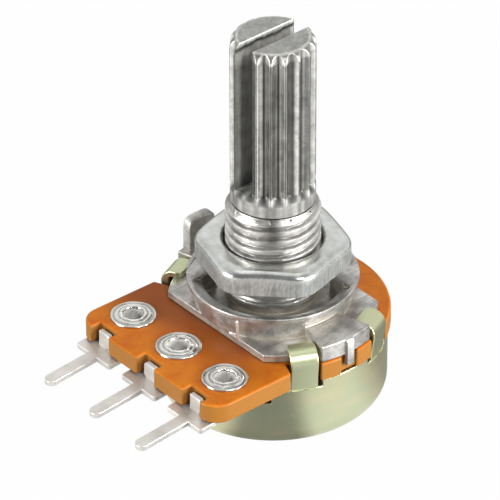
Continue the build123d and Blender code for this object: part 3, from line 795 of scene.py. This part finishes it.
def eyelet_mesh(name):
    """A tube whose head is curled over in rings: the profile (radius, height above the board) is a
    smooth line through a few points, in millimetres, carried round. The curl is split by shallow
    radial creases, cosines of the angle that deepen towards the inner ring."""
    low, high = node_box(name)
    middle = (low + high) / 2
    board_top = BOARD_TOP / MM
    under = low[2] / MM
    bore, shank, foot, widest = 0.73, 0.97, 1.20, 1.625
    crease_depth = 0.05
    marks = np.array([
        (1.62, 0.0), (1.63, 0.08), (1.58, 0.155), (1.50, 0.16), (1.42, 0.10), (1.33, 0.11),
        (1.23, 0.205), (1.13, 0.22), (1.04, 0.17), (0.95, 0.25), (0.85, 0.285), (0.77, 0.22),
        (bore, 0.08), (bore, -0.4),
    ])
    along = np.arange(len(marks))
    fine = np.linspace(0, len(marks) - 1, 70)
    head = np.stack([np.interp(fine, along, marks[:, axis]) for axis in (0, 1)], axis=-1)
    for _ in range(3):
        head[1:-1] = (head[:-2] + 2 * head[1:-1] + head[2:]) / 4
    head[:, 1] += board_top
    tube = np.array([
        (bore, under), (foot, under), (foot, under + 0.24), (shank, under + 0.24),
        (shank, board_top)])
    profile = np.concatenate([head, tube, head[:1]])

    angle = np.linspace(0, 2 * math.pi, 144, endpoint=False)
    turn = middle[0] / MM  # makes the creases of each eyelet its own
    radius = np.repeat(profile[:, :1], len(angle), axis=1)
    height = np.repeat(profile[:, 1:], len(angle), axis=1)
    raised = ramp(height, board_top, 0.12)
    inner = np.clip((1.35 - radius) / 0.25, 0, 1) * raised
    crease = (
        np.maximum(np.cos(2.5 * angle + turn), 0) ** 24
        + np.maximum(np.cos(2.5 * angle + turn + 2), 0) ** 30)
    height = height - crease_depth * inner * crease
    radius = radius * (
        1 + 0.012 * raised * np.cos(3 * angle + turn) + 0.008 * raised * np.cos(7 * angle))
    radius = np.minimum(radius, widest)
    points = about_axis(radius * MM, angle, height * MM) + (middle[0], middle[1], 0)

    # painted light: the rings of the curl are painted bright as highlights and the grooves between
    # them painted dark as shade
    grooves = np.interp(
        radius[:, 0], [0.74, 0.8, 0.9, 1.02, 1.08, 1.2, 1.3, 1.40, 1.48, 1.6],
        [0.6, 0.9, 1.0, 0.5, 0.6, 0.9, 0.75, 0.35, 0.55, 0.8])
    below = height[:, 0] < board_top + 0.1
    in_bore = below & (radius[:, 0] < 0.8)
    tone = np.where(in_bore, 0.75, np.where(below, 0.8, grooves))
    return surface_mesh(name + "_curl", points, tone=tone[:, None], dull=in_bore[:, None] * 1.0)


SLOT_TURN = math.radians(1.2)  # direction of the slot's normal, round the axis
FLUTE_MIDDLE = math.radians(-73.1)  # direction of the middle of one scoop
# heights of the head: its shoulder, where the flutes run out, and the slot's floor
SHOULDER = 15.72 * MM
FLUTE_FOOT = 16.6 * MM
SLOT_FLOOR = 17.1 * MM
# the rounded top edge: where it starts, and its half axes
DOME_START = SHAFT_TOP - 0.82 * MM
DOME_TALL, DOME_DEEP = 0.84 * MM, 0.62 * MM


def flute_runout(height):
    """How deep the scoops are against height, from nothing on the round foot to one, as a smooth
    step, and how fast that grows per metre."""
    length = 0.75 * MM
    share = ramp(height, FLUTE_FOOT, length)
    return smooth_step(share), 6 * share * (1 - share) / length


def scoop_depth(sizes, angle):
    """Depth of the fluted head's parabolic scoops against angle, with narrow lands between them."""
    pitch = 2 * math.pi / sizes.flutes
    half_land = math.radians(1.3)
    reach = pitch / 2 - half_land
    scoop = np.clip(1 - (off_nearest(angle, FLUTE_MIDDLE, pitch) / reach) ** 2, 0, 1) ** 0.9
    return (sizes.diameter - sizes.root) / 2 * scoop


def scoop_radius(sizes, angle, height):
    """Radius of the fluted head against angle and height: the scoops, run out to the full round at
    the foot."""
    return sizes.diameter / 2 - scoop_depth(sizes, angle) * flute_runout(height)[0]


def dome_radius(sizes, height):
    """Radius of the rounded top edge: a quarter of an ellipse that starts below the top."""
    share = ramp(height, DOME_START, DOME_TALL)
    return sizes.diameter / 2 - DOME_DEEP * (1 - np.sqrt(1 - share ** 2))


def flute_radius(sizes, angle, height):
    """The scoops cut by the rounded top edge, with a soft edge between them."""
    radius = scoop_radius(sizes, angle, height)
    cut = soft_min(radius, dome_radius(sizes, height) + 0 * angle, 0.05 * MM)
    return np.where(height > DOME_START - 0.04 * MM, cut, radius)


def flute_painted_light(sizes, angle, height):
    """How bright the metal is against angle, as painted light: a painted dark reflection at the
    bottom of each scoop, rising to a painted highlight at its rim, and painted dark again on the
    narrow land, as a dark reflection. The foot is plain with faint facets, and the run-out slopes
    are painted dark, as shade. The rounded top edge is grey, with a painted bright line where it
    meets a scoop."""
    aside = np.degrees(off_nearest(angle, FLUTE_MIDDLE, 2 * math.pi / sizes.flutes))
    scoop = np.interp(
        aside, [0, 1.2, 3.0, 5.0, 7.4, 8.5, 9.2, 10],
        [0.14, 0.17, 0.36, 0.62, 0.80, 0.98, 0.34, 0.22])
    facets = (
        0.08 * np.cos(sizes.flutes * (angle - FLUTE_MIDDLE) + 1.5 * np.sin(5 * angle))
        + 0.05 * np.sin(31 * angle))
    depth, slope = flute_runout(height)
    tone = scoop * depth + (0.42 + facets) * (1 - depth)
    # painted shade on the slopes where the flutes run out
    tone = tone * np.exp(-2.8 * slope * scoop_depth(sizes, angle))
    over = scoop_radius(sizes, angle, height) - dome_radius(sizes, height)
    on_dome = ramp(over, 0, 0.02 * MM)
    rim = np.exp(-((over - 0.02 * MM) / (0.035 * MM)) ** 2)
    return np.clip(tone, 0.03, 1) * (1 - on_dome) + (0.20 + 0.34 * rim) * on_dome


def end_wear(height):
    """How dull the metal is: half dull on the foot of the head and on its turned top edge, and
    fully on the slopes where the flutes run out."""
    foot = 1 - ramp(height, 17.0 * MM, 0.4 * MM)
    depth = flute_runout(height)[0]
    edge = ramp(height, SHAFT_TOP - 0.80 * MM, 0.20 * MM)
    return np.clip(np.maximum(0.45 * foot + 4 * depth * (1 - depth), 0.45 * edge), 0, 1)


def wall_painted_light(depth, along):
    """How bright and how dull a wall of the slot is. Below a band at the rim it is dull and grey.
    The band, down to about a millimetre, is painted bright, as the lamp's light on the wall's upper
    part, with a dark line along it, both wavering with sines of the place along the slot."""
    waver = 0.5 * np.sin(11 * along + 0.6) + 0.3 * np.sin(29 * along) + 0.2 * np.sin(67 * along)
    torn = np.exp(-((depth - (0.42 + 0.10 * waver) * MM) / ((0.17 + 0.05 * waver) * MM)) ** 2)
    lit_band = np.clip((1.15 * MM - depth) / (0.25 * MM), 0, 1)
    # painted light: the band at the rim is painted bright as the lamp's light, above the grey part
    # in shade
    tone = 0.34 * (1 - lit_band) + (0.72 + 0.12 * waver - 0.66 * torn) * lit_band
    return np.clip(tone, 0.03, 1), 1 - 0.45 * lit_band


def prong_mesh(sizes, side):
    """One half of the split head. Each level's outline is the fluted arc from wall to wall, found
    by solving radius times cosine equals half the slot in half steps, and then the straight wall
    of the slot. The upper rim rolls inwards by a quarter circle, and the level top closes on a
    point inside it."""
    arc_columns, wall_columns = 230, 60
    roll = 0.09 * MM
    rim_tone, lid_tone = 0.6, 0.34
    facing = SLOT_TURN + (0 if side > 0 else math.pi)
    levels = np.concatenate([
        [SLOT_FLOOR - 0.05 * MM], np.linspace(SLOT_FLOOR, SLOT_FLOOR + 0.5 * MM, 8),
        np.linspace(SLOT_FLOOR + 0.9 * MM, SHAFT_TOP - 0.88 * MM, 10),
        np.linspace(SHAFT_TOP - 0.85 * MM, SHAFT_TOP, 34),
    ])[:, None]
    reach = {-1: np.full_like(levels, 1.3), 1: np.full_like(levels, 1.3)}
    for _ in range(40):
        for sign in reach:
            radius = flute_radius(sizes, facing + sign * reach[sign], levels)
            corner = np.arccos(np.clip(sizes.slot / 2 / radius, 0, 1))
            reach[sign] = 0.5 * reach[sign] + 0.5 * corner
    share = np.linspace(-1, 1, arc_columns)[None, :]
    turn = share * np.where(share < 0, reach[-1], reach[1])
    radius = flute_radius(sizes, facing + turn, levels)
    arc = np.stack([radius * np.cos(turn), radius * np.sin(turn)], axis=-1)
    step = np.linspace(0, 1, wall_columns + 2)[None, 1:-1, None]
    wall = arc[:, -1:] * (1 - step) + arc[:, :1] * step
    outline = np.concatenate([arc, wall], axis=1)

    middle = np.array([1.55 * MM, 0.0])
    rolled = ramp(levels, SHAFT_TOP - roll, roll)
    inset = roll * (1 - np.sqrt(np.clip(1 - rolled ** 2, 0, 1)))
    inward = middle - outline
    inward /= np.linalg.norm(inward, axis=-1, keepdims=True)
    outline = outline + inward * inset[..., None]
    lid = [outline[-1] + (middle - outline[-1]) * part for part in (0.02, 0.25, 0.5, 0.75, 1.0)]
    flat = np.concatenate([outline, np.stack(lid)])
    height = np.concatenate([levels, np.full((len(lid), 1), SHAFT_TOP)])

    wall_tone, wall_dull = wall_painted_light(SHAFT_TOP - levels, step[0, :, 0][None, :])
    tone = np.concatenate([flute_painted_light(sizes, facing + turn, levels), wall_tone], axis=1)
    tone += (rim_tone - tone) * rolled
    tone = np.concatenate([tone, np.full((len(lid), flat.shape[1]), lid_tone)])
    dull = np.broadcast_to(end_wear(height), flat.shape[:2]).copy()
    dull[:len(levels), arc_columns:] = wall_dull
    points = turned(flat[..., 0], flat[..., 1], height, facing)
    return surface_mesh("prong", points, tone=tone, dull=dull)


def collar_mesh(sizes):
    """The round foot of the head, into which the flutes run out, closed above and below."""
    chamfer = 0.04 * MM
    angle = np.linspace(0, 2 * math.pi, 360, endpoint=False)[None, :]
    height = np.concatenate([
        [SHOULDER, SHOULDER + chamfer], np.linspace(SHOULDER + 0.1 * MM, SLOT_FLOOR, 24)])[:, None]
    radius = flute_radius(sizes, angle, height)
    radius[0] -= chamfer
    tone = flute_painted_light(sizes, angle, height)
    tone = np.concatenate([tone[:1], tone[:1], tone, np.full_like(tone[:2], 0.8)])
    shut = np.array([[0.0], [0.5]])
    radius = np.concatenate([radius[:1] * shut, radius, radius[-1:] * shut[::-1]])
    height = np.concatenate([height[:1], height[:1], height, height[-1:], height[-1:]])
    return surface_mesh(
        "collar", about_axis(radius, angle, height), tone=tone, dull=end_wear(height))


class POT_OT_shaft(bpy.types.Operator):
    """Rolls the flutes, saws the slot and turns the journal of the shaft"""

    bl_idname = "pot.shaft"
    bl_label = "Shaft"

    def execute(self, context):
        sizes = context.scene.pot_shaft
        journal = cad_copy("shaft", keep=lambda centre: centre.z < SHOULDER - 0.01 * MM)
        journal.shade_smooth()
        journal.set_sharp_from_angle(angle=math.radians(30))
        head = joined(
            "fluted_shaft", journal, collar_mesh(sizes), prong_mesh(sizes, 1),
            prong_mesh(sizes, -1))
        add_piece("fluted_shaft", head, "spindle", "turned_steel", rolled_steel(), "shaft")
        return {"FINISHED"}


RING_RADIUS = 6.08 * MM
LUG_MIDDLE = np.array([-7.94, -0.14, 8.775]) * MM
LUG_HALF = np.array([0.40, 1.21, 1.575]) * MM
# how much of its size the CAD copy's lug keeps, as the core inside the cast one, and the x and
# the height past which a point belongs to it
LUG_CORE = np.array([0.7, 0.8, 0.2])
LUG_SIDE, LUG_FOOT = -7.5 * MM, 8.1 * MM
# radii between which the CAD copy's bushing wall lies, and the one to which it is drawn in
WALL_INSIDE, WALL_OUTSIDE, WALL_SLIM = 3.2 * MM, 3.6 * MM, 3.02 * MM


def lug_mesh():
    """The lug behind the nut: a rounded rectangle, the curve where (y / half width) ** 4.5 plus
    (z / half height) ** 4.5 is one, carried along x and drawn in by a quarter circle at each face.
    It is painted bright on its rims and its near end, as highlights, and painted darker on the face
    towards the nut, as shade."""
    rounding = 0.13 * MM
    power = 4.5
    turn = np.linspace(0, 2 * math.pi, 120, endpoint=False)
    size = (np.abs(np.cos(turn)) ** power + np.abs(np.sin(turn)) ** power) ** (-1 / power)
    bend = np.linspace(0, math.pi / 2, 6)
    near = rounding * (1 - np.cos(bend))
    depth = 2 * LUG_HALF[0]
    place = np.concatenate([[0.0], near, depth - near[::-1], [depth]])[:, None]
    drawn_in = rounding * (1 - np.sin(bend))
    inset = np.concatenate([[0.0], drawn_in, drawn_in[::-1], [0.0]])[:, None]
    shut = np.ones_like(place)
    shut[[0, -1]] = 0.0
    across = (LUG_HALF[1] - inset) * shut * size * np.cos(turn)
    upward = (LUG_HALF[2] - inset) * shut * size * np.sin(turn)
    points = np.stack([place - LUG_HALF[0] + 0 * across, across, upward], axis=-1) + LUG_MIDDLE
    rim = np.clip(inset / rounding, 0, 1) * shut
    mottle = np.sin(9 * turn + 2) * np.sin(23 * turn) * np.cos(place / (0.21 * MM))
    towards_nut = ramp(place, LUG_HALF[0], 0.3 * MM)
    near_end = np.clip(-np.cos(turn) * 3 - 1.6, 0, 1)
    # painted light: highlights on the rims and near end, shade on the face towards the nut
    tone = 0.64 - 0.36 * towards_nut + 0.36 * near_end + 0.40 * rim + 0.10 * mottle
    return surface_mesh("cast_lug", points, tone=np.clip(tone, 0, 1), dull=0.3)


def seam_mesh():
    """The parting seam on the ring's wall: a half round rib, where the depth is the cosine of the
    place across it, from the flange to the ring's lip, with both ends drawn in."""
    direction = math.radians(-64.15)
    flange, lip, rows = 7.30 * MM, 9.10 * MM, 12
    proud, half_width = 0.055 * MM, 0.10 * MM
    height = np.linspace(flange, lip, rows)[:, None]
    turn = np.linspace(0, 2 * math.pi, 20, endpoint=False)[None, :]
    shut = np.ones((rows, 1))
    shut[[0, -1]] = 0.0
    out = RING_RADIUS + proud * shut * np.cos(turn)
    aside = half_width * shut * np.sin(turn)
    return surface_mesh("parting_seam", turned(out, aside, height, direction), tone=0.95, dull=0.2)


class POT_OT_bushing(bpy.types.Operator):
    """Casts the front plate with soft edges and cuts its bushing's thread"""

    bl_idname = "pot.bushing"
    bl_label = "Front plate and thread"

    def execute(self, context):
        metal, light_painted = cast_zinc(context.scene.pot_colours), zinc_with_painted_light()
        add_piece(
            "bushing_thread", thread_mesh(context.scene.pot_thread), "housing", "zinc_casting",
            light_painted)

        def slim_plate(points):
            """Draws the bushing's outer wall in below the thread's roots, and the lug in to a core
            inside its rounded casting."""
            across = np.hypot(points[:, 0], points[:, 1])
            above_foot = points[:, 2] > THREAD_FOOT - 0.05 * MM
            wall = above_foot & (across > WALL_INSIDE) & (across < WALL_OUTSIDE)
            slim = np.where(wall, WALL_SLIM / np.maximum(across, MM), 1.0)
            lug = (points[:, 0] < LUG_SIDE) & (points[:, 2] > LUG_FOOT)
            core = (points - LUG_MIDDLE) * LUG_CORE + LUG_MIDDLE
            slimmed = np.column_stack([points[:, 0] * slim, points[:, 1] * slim, points[:, 2]])
            return np.where(lug[:, None], core, slimmed)

        plate = add_piece(
            "cast_plate", cad_copy("front_plate", slim_plate), "housing", "zinc_casting", metal,
            "front_plate")
        add_piece("cast_lug", lug_mesh(), "housing", "zinc_casting", light_painted)
        add_piece("parting_seam", seam_mesh(), "housing", "zinc_casting", light_painted)
        round_edges(plate, 0.07)
        return {"FINISHED"}


class POT_OT_nut(bpy.types.Operator):
    """Stamps the nut with its rolled upper edge"""

    bl_idname = "pot.nut"
    bl_label = "Nut"

    def execute(self, context):
        add_piece(
            "stamped_nut", nut_mesh(context.scene.pot_nut), "nut", "nickel_nut",
            stamped_nickel(context.scene.pot_colours), "mounting_nut")
        return {"FINISHED"}


class POT_OT_eyelets(bpy.types.Operator):
    """Curls the three eyelets over on the board"""

    bl_idname = "pot.eyelets"
    bl_label = "Eyelets"

    def execute(self, context):
        metal = bright_tin()
        for side in SIDES:
            node = "eyelet_" + side
            add_piece(
                "curled_" + node, eyelet_mesh(node), "housing", "tinned_eyelet", metal, node)
        return {"FINISHED"}


class POT_OT_soft_edges(bpy.types.Operator):
    """Rounds the edges of the board, the can and the terminals"""

    bl_idname = "pot.soft_edges"
    bl_label = "Board, can and terminals"

    def execute(self, context):
        colours = context.scene.pot_colours
        rivets = [sum(node_box("eyelet_" + side)) / 2 for side in SIDES]

        def at_hole(place):
            """True on the rims of the rivet holes and of the hole for the shaft."""
            near = min(math.hypot(place.x - rivet[0], place.y - rivet[1]) for rivet in rivets)
            return near < 1.4 * MM or math.hypot(place.x, place.y) < 3.4 * MM

        # points 0.08 mm apart are merged, because a corner ends 0.075 mm from a notch, and the
        # bevel would fold over there
        board = add_piece(
            "phenolic_board", cad_copy("element_board", at_hole=at_hole, merge=0.08), "housing",
            "phenolic", phenolic_paper(colours), "element_board")
        round_edges(board, 0.18, share=lambda middle: 0.0 if at_hole(middle) else 1.0)
        can = add_piece(
            "drawn_can", cad_copy("rear_cover"), "housing", "passivated_steel",
            yellow_passivated_steel(colours), "rear_cover")
        round_edges(can, 0.09)
        strip = matt_tin(colours)
        for side in SIDES:
            node = "terminal_" + side
            terminal = add_piece(
                "stamped_" + node, cad_copy(node), "housing", "tinned_strip", strip, node)
            round_edges(terminal, 0.07)
        return {"FINISHED"}


class POT_OT_finish_nodes(bpy.types.Operator):
    """Gives each CAD node the finish of its real material"""

    bl_idname = "pot.finish_nodes"
    bl_label = "Finish the CAD pieces"

    def execute(self, context):
        colours = context.scene.pot_colours
        finishes = {
            "rear_cover": yellow_passivated_steel(colours),
            "element_board": phenolic_paper(colours),
            "carbon_track": carbon_ink(),
            "front_plate": cast_zinc(colours),
            "mounting_nut": stamped_nickel(colours),
            "shaft": turned_steel(),
            "retaining_clip": oiled_spring_steel(),
            "rotor": natural_nylon(),
            "wiper": bronze_strip(),
        }
        silver = silver_ink()
        strip = matt_tin(colours)
        eyelet = bright_tin()
        for side in SIDES:
            finishes["terminal_" + side] = strip
            finishes["eyelet_" + side] = eyelet
        for name in ("end_pad_left", "end_pad_right", "collector_ring"):
            finishes[name] = silver
        for name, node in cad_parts.items():
            give_material(node, finishes[name])
        return {"FINISHED"}


class POT_OT_studio(bpy.types.Operator):
    """Sets the floor, the soft lamps, the bright surround and the camera"""

    bl_idname = "pot.studio"
    bl_label = "Set up the studio"

    def execute(self, context):
        add_floor()
        add_world(context.scene)
        add_lamps()
        add_camera(context.scene, context.scene.pot_studio)
        context.scene.view_settings.view_transform = "Standard"
        return {"FINISHED"}


def seen_directly(tree):
    """One for camera, glossy and transmission rays, and nothing for the rays that light things."""
    ray = add_node(tree, "ShaderNodeLightPath")
    sharp = add_node(tree, "ShaderNodeMath", {
        0: ray.outputs["Is Camera Ray"], 1: ray.outputs["Is Glossy Ray"]}, operation="MAXIMUM")
    either = add_node(tree, "ShaderNodeMath", {
        0: sharp.outputs[0], 1: ray.outputs["Is Transmission Ray"]}, operation="MAXIMUM")
    return either.outputs[0]


def add_floor():
    """A white floor at the can's back. It shows as white and keeps the object's soft shadow.
    Mirrored in metal it is darker in a strip towards +X -Y, and on the far side."""
    half = 0.6
    corners = np.array([(-half, -half, 0), (half, -half, 0), (half, half, 0), (-half, half, 0)])
    mesh = bpy.data.meshes.new("studio_floor")
    mesh.from_pydata(corners.tolist(), [], [(0, 1, 2, 3)])
    floor = bpy.data.objects.new("studio_floor", mesh)
    bpy.context.scene.collection.objects.link(floor)
    material, tree, shader, place = start_material("studio_white")
    shader.inputs["Base Color"].default_value = linear("#ACACAC")
    shader.inputs["Roughness"].default_value = 0.9
    ray = add_node(tree, "ShaderNodeLightPath")
    outward = add_node(tree, "ShaderNodeVectorMath", {0: place}, operation="NORMALIZE")
    near_strip = Vector((0.73, -0.68, 0.0)).normalized()
    facing = add_node(tree, "ShaderNodeVectorMath", {
        0: outward.outputs[0], 1: near_strip}, operation="DOT_PRODUCT")
    near_side = add_node(tree, "ShaderNodeMapRange", {
        "Value": facing.outputs["Value"], "From Min": 0.88, "From Max": 0.96,
        "To Min": 1.0, "To Max": 0.32})
    far_side = add_node(tree, "ShaderNodeMapRange", {
        "Value": facing.outputs["Value"], "From Min": -0.1, "From Max": 0.45,
        "To Min": 0.35, "To Max": 1.0})
    in_mirror = add_node(tree, "ShaderNodeMath", {
        0: near_side.outputs["Result"], 1: far_side.outputs["Result"]}, operation="MULTIPLY")
    bright = add_node(tree, "ShaderNodeMath", {
        0: in_mirror.outputs[0], 1: ray.outputs["Is Camera Ray"]}, operation="MAXIMUM")
    paper = add_node(tree, "ShaderNodeEmission", {
        "Color": linear("#FFFFFF"), "Strength": bright.outputs[0]})
    share = add_node(tree, "ShaderNodeMath", {
        0: seen_directly(tree), 1: 0.985}, operation="MULTIPLY")
    mix = add_node(tree, "ShaderNodeMixShader", {
        0: share.outputs[0], 1: shader.outputs["BSDF"], 2: paper.outputs[0]})
    output = next(node for node in tree.nodes if node.type == "OUTPUT_MATERIAL")
    tree.links.new(mix.outputs[0], output.inputs["Surface"])
    give_material(floor, material)


def add_world(scene):
    """An even surround that the camera and the gloss see as white, but for the dark side of the
    room that the metal mirrors, half way up towards +X -Y."""
    dark_side = (0.639, -0.533, 0.554)
    world = bpy.data.worlds.new("studio_surround")
    scene.world = world
    world.use_nodes = True
    tree = world.node_tree
    tree.nodes.clear()
    ray = add_node(tree, "ShaderNodeLightPath")
    towards = add_node(tree, "ShaderNodeTexCoord").outputs["Generated"]
    facing = add_node(tree, "ShaderNodeVectorMath", {
        0: towards, 1: dark_side}, operation="DOT_PRODUCT")
    room = add_node(tree, "ShaderNodeMapRange", {
        "Value": facing.outputs["Value"], "From Min": 0.35, "From Max": 0.85,
        "To Min": 1.0, "To Max": 0.22}, interpolation_type="SMOOTHSTEP")
    bright = add_node(tree, "ShaderNodeMath", {
        0: room.outputs["Result"], 1: ray.outputs["Is Camera Ray"]}, operation="MAXIMUM")
    lamp = add_node(tree, "ShaderNodeBackground", {"Color": linear("#FFFFFF"), "Strength": 0.22})
    white = add_node(tree, "ShaderNodeBackground", {
        "Color": linear("#FFFFFF"), "Strength": bright.outputs[0]})
    mix = add_node(tree, "ShaderNodeMixShader", {0: seen_directly(tree)})
    tree.links.new(lamp.outputs[0], mix.inputs[1])
    tree.links.new(white.outputs[0], mix.inputs[2])
    add_node(tree, "ShaderNodeOutputWorld", {"Surface": mix.outputs[0]})


def add_lamps():
    """A softbox above, tall ones low on the left and right of the camera, and a small one high on
    the right. Each line holds a place, a width and height in metres, and watts."""
    target = Vector((0, 0, 12 * MM))
    for name, place, width, tall, watts in (
        ("overhead_softbox", (0.02, -0.02, 0.30), 0.20, 0.20, 0.10),
        ("left_softbox", (-0.075, -0.27, 0.065), 0.08, 0.12, 0.80),
        ("right_softbox", (0.265, 0.10, 0.065), 0.08, 0.12, 1.15),
        ("right_spot", (0.24, -0.04, 0.215), 0.030, 0.030, 0.42),
    ):
        data = bpy.data.lights.new(name, "AREA")
        data.shape = "RECTANGLE"
        data.size = width
        data.size_y = tall
        data.energy = watts
        lamp = bpy.data.objects.new(name, data)
        lamp.location = place
        lamp.rotation_mode = "QUATERNION"
        lamp.rotation_quaternion = (target - Vector(place)).to_track_quat("-Z", "Y")
        bpy.context.scene.collection.objects.link(lamp)


def add_camera(scene, sizes):
    """A long lens at the photograph's angle, turned by its small roll. It looks at a point 11.21 mm
    up the shaft axis and 1.60 mm to its left."""
    azimuth, elevation = sizes.azimuth, sizes.elevation
    across = Vector((math.cos(azimuth), math.sin(azimuth), 0))
    back = Vector((
        math.sin(azimuth) * math.cos(elevation),
        -math.cos(azimuth) * math.cos(elevation),
        math.sin(elevation),
    ))
    aim = Vector((0, 0, 11.21 * MM)) + across * (-1.60 * MM)
    roll = math.radians(-0.13)
    up = back.cross(across)
    right = across * math.cos(roll) + up * math.sin(roll)
    above = up * math.cos(roll) - across * math.sin(roll)
    data = bpy.data.cameras.new("photo_camera")
    data.sensor_width = 36.0
    data.lens = sizes.lens
    data.clip_start = 0.01
    data.clip_end = 10.0
    camera = bpy.data.objects.new("photo_camera", data)
    scene.collection.objects.link(camera)
    camera.matrix_world = Matrix.Translation(aim + back * sizes.distance) @ Matrix((
        (right.x, above.x, back.x, 0),
        (right.y, above.y, back.y, 0),
        (right.z, above.z, back.z, 0),
        (0, 0, 0, 1),
    ))
    scene.camera = camera


class POT_PT_panel(bpy.types.Panel):
    """Lists the steps that dress the potentiometer"""

    bl_idname = "POT_PT_panel"
    bl_label = "Potentiometer"
    bl_space_type = "VIEW_3D"
    bl_region_type = "UI"
    bl_category = "Potentiometer"

    def draw(self, context):
        for step in STEPS:
            self.layout.operator(step.bl_idname)


GROUPS = (ThreadSizes, NutSizes, ShaftSizes, FinishColours, StudioSizes)
STEPS = (
    POT_OT_finish_nodes, POT_OT_soft_edges, POT_OT_bushing, POT_OT_nut, POT_OT_shaft,
    POT_OT_eyelets, POT_OT_studio,
)


def register():
    """Registers the classes and adds their sizes and colours to the scene."""
    for item in GROUPS + STEPS + (POT_PT_panel,):
        bpy.utils.register_class(item)
    bpy.types.Scene.pot_thread = bpy.props.PointerProperty(type=ThreadSizes)
    bpy.types.Scene.pot_nut = bpy.props.PointerProperty(type=NutSizes)
    bpy.types.Scene.pot_shaft = bpy.props.PointerProperty(type=ShaftSizes)
    bpy.types.Scene.pot_colours = bpy.props.PointerProperty(type=FinishColours)
    bpy.types.Scene.pot_studio = bpy.props.PointerProperty(type=StudioSizes)


def unregister():
    """Takes away all that register added."""
    del bpy.types.Scene.pot_studio
    del bpy.types.Scene.pot_colours
    del bpy.types.Scene.pot_shaft
    del bpy.types.Scene.pot_nut
    del bpy.types.Scene.pot_thread
    for item in reversed(GROUPS + STEPS + (POT_PT_panel,)):
        bpy.utils.unregister_class(item)


def main():
    """Registers the add-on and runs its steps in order."""
    register()
    bpy.ops.pot.finish_nodes()
    bpy.ops.pot.soft_edges()
    bpy.ops.pot.bushing()
    bpy.ops.pot.nut()
    bpy.ops.pot.shaft()
    bpy.ops.pot.eyelets()
    bpy.ops.pot.studio()


if __name__ == "__main__":
    main()
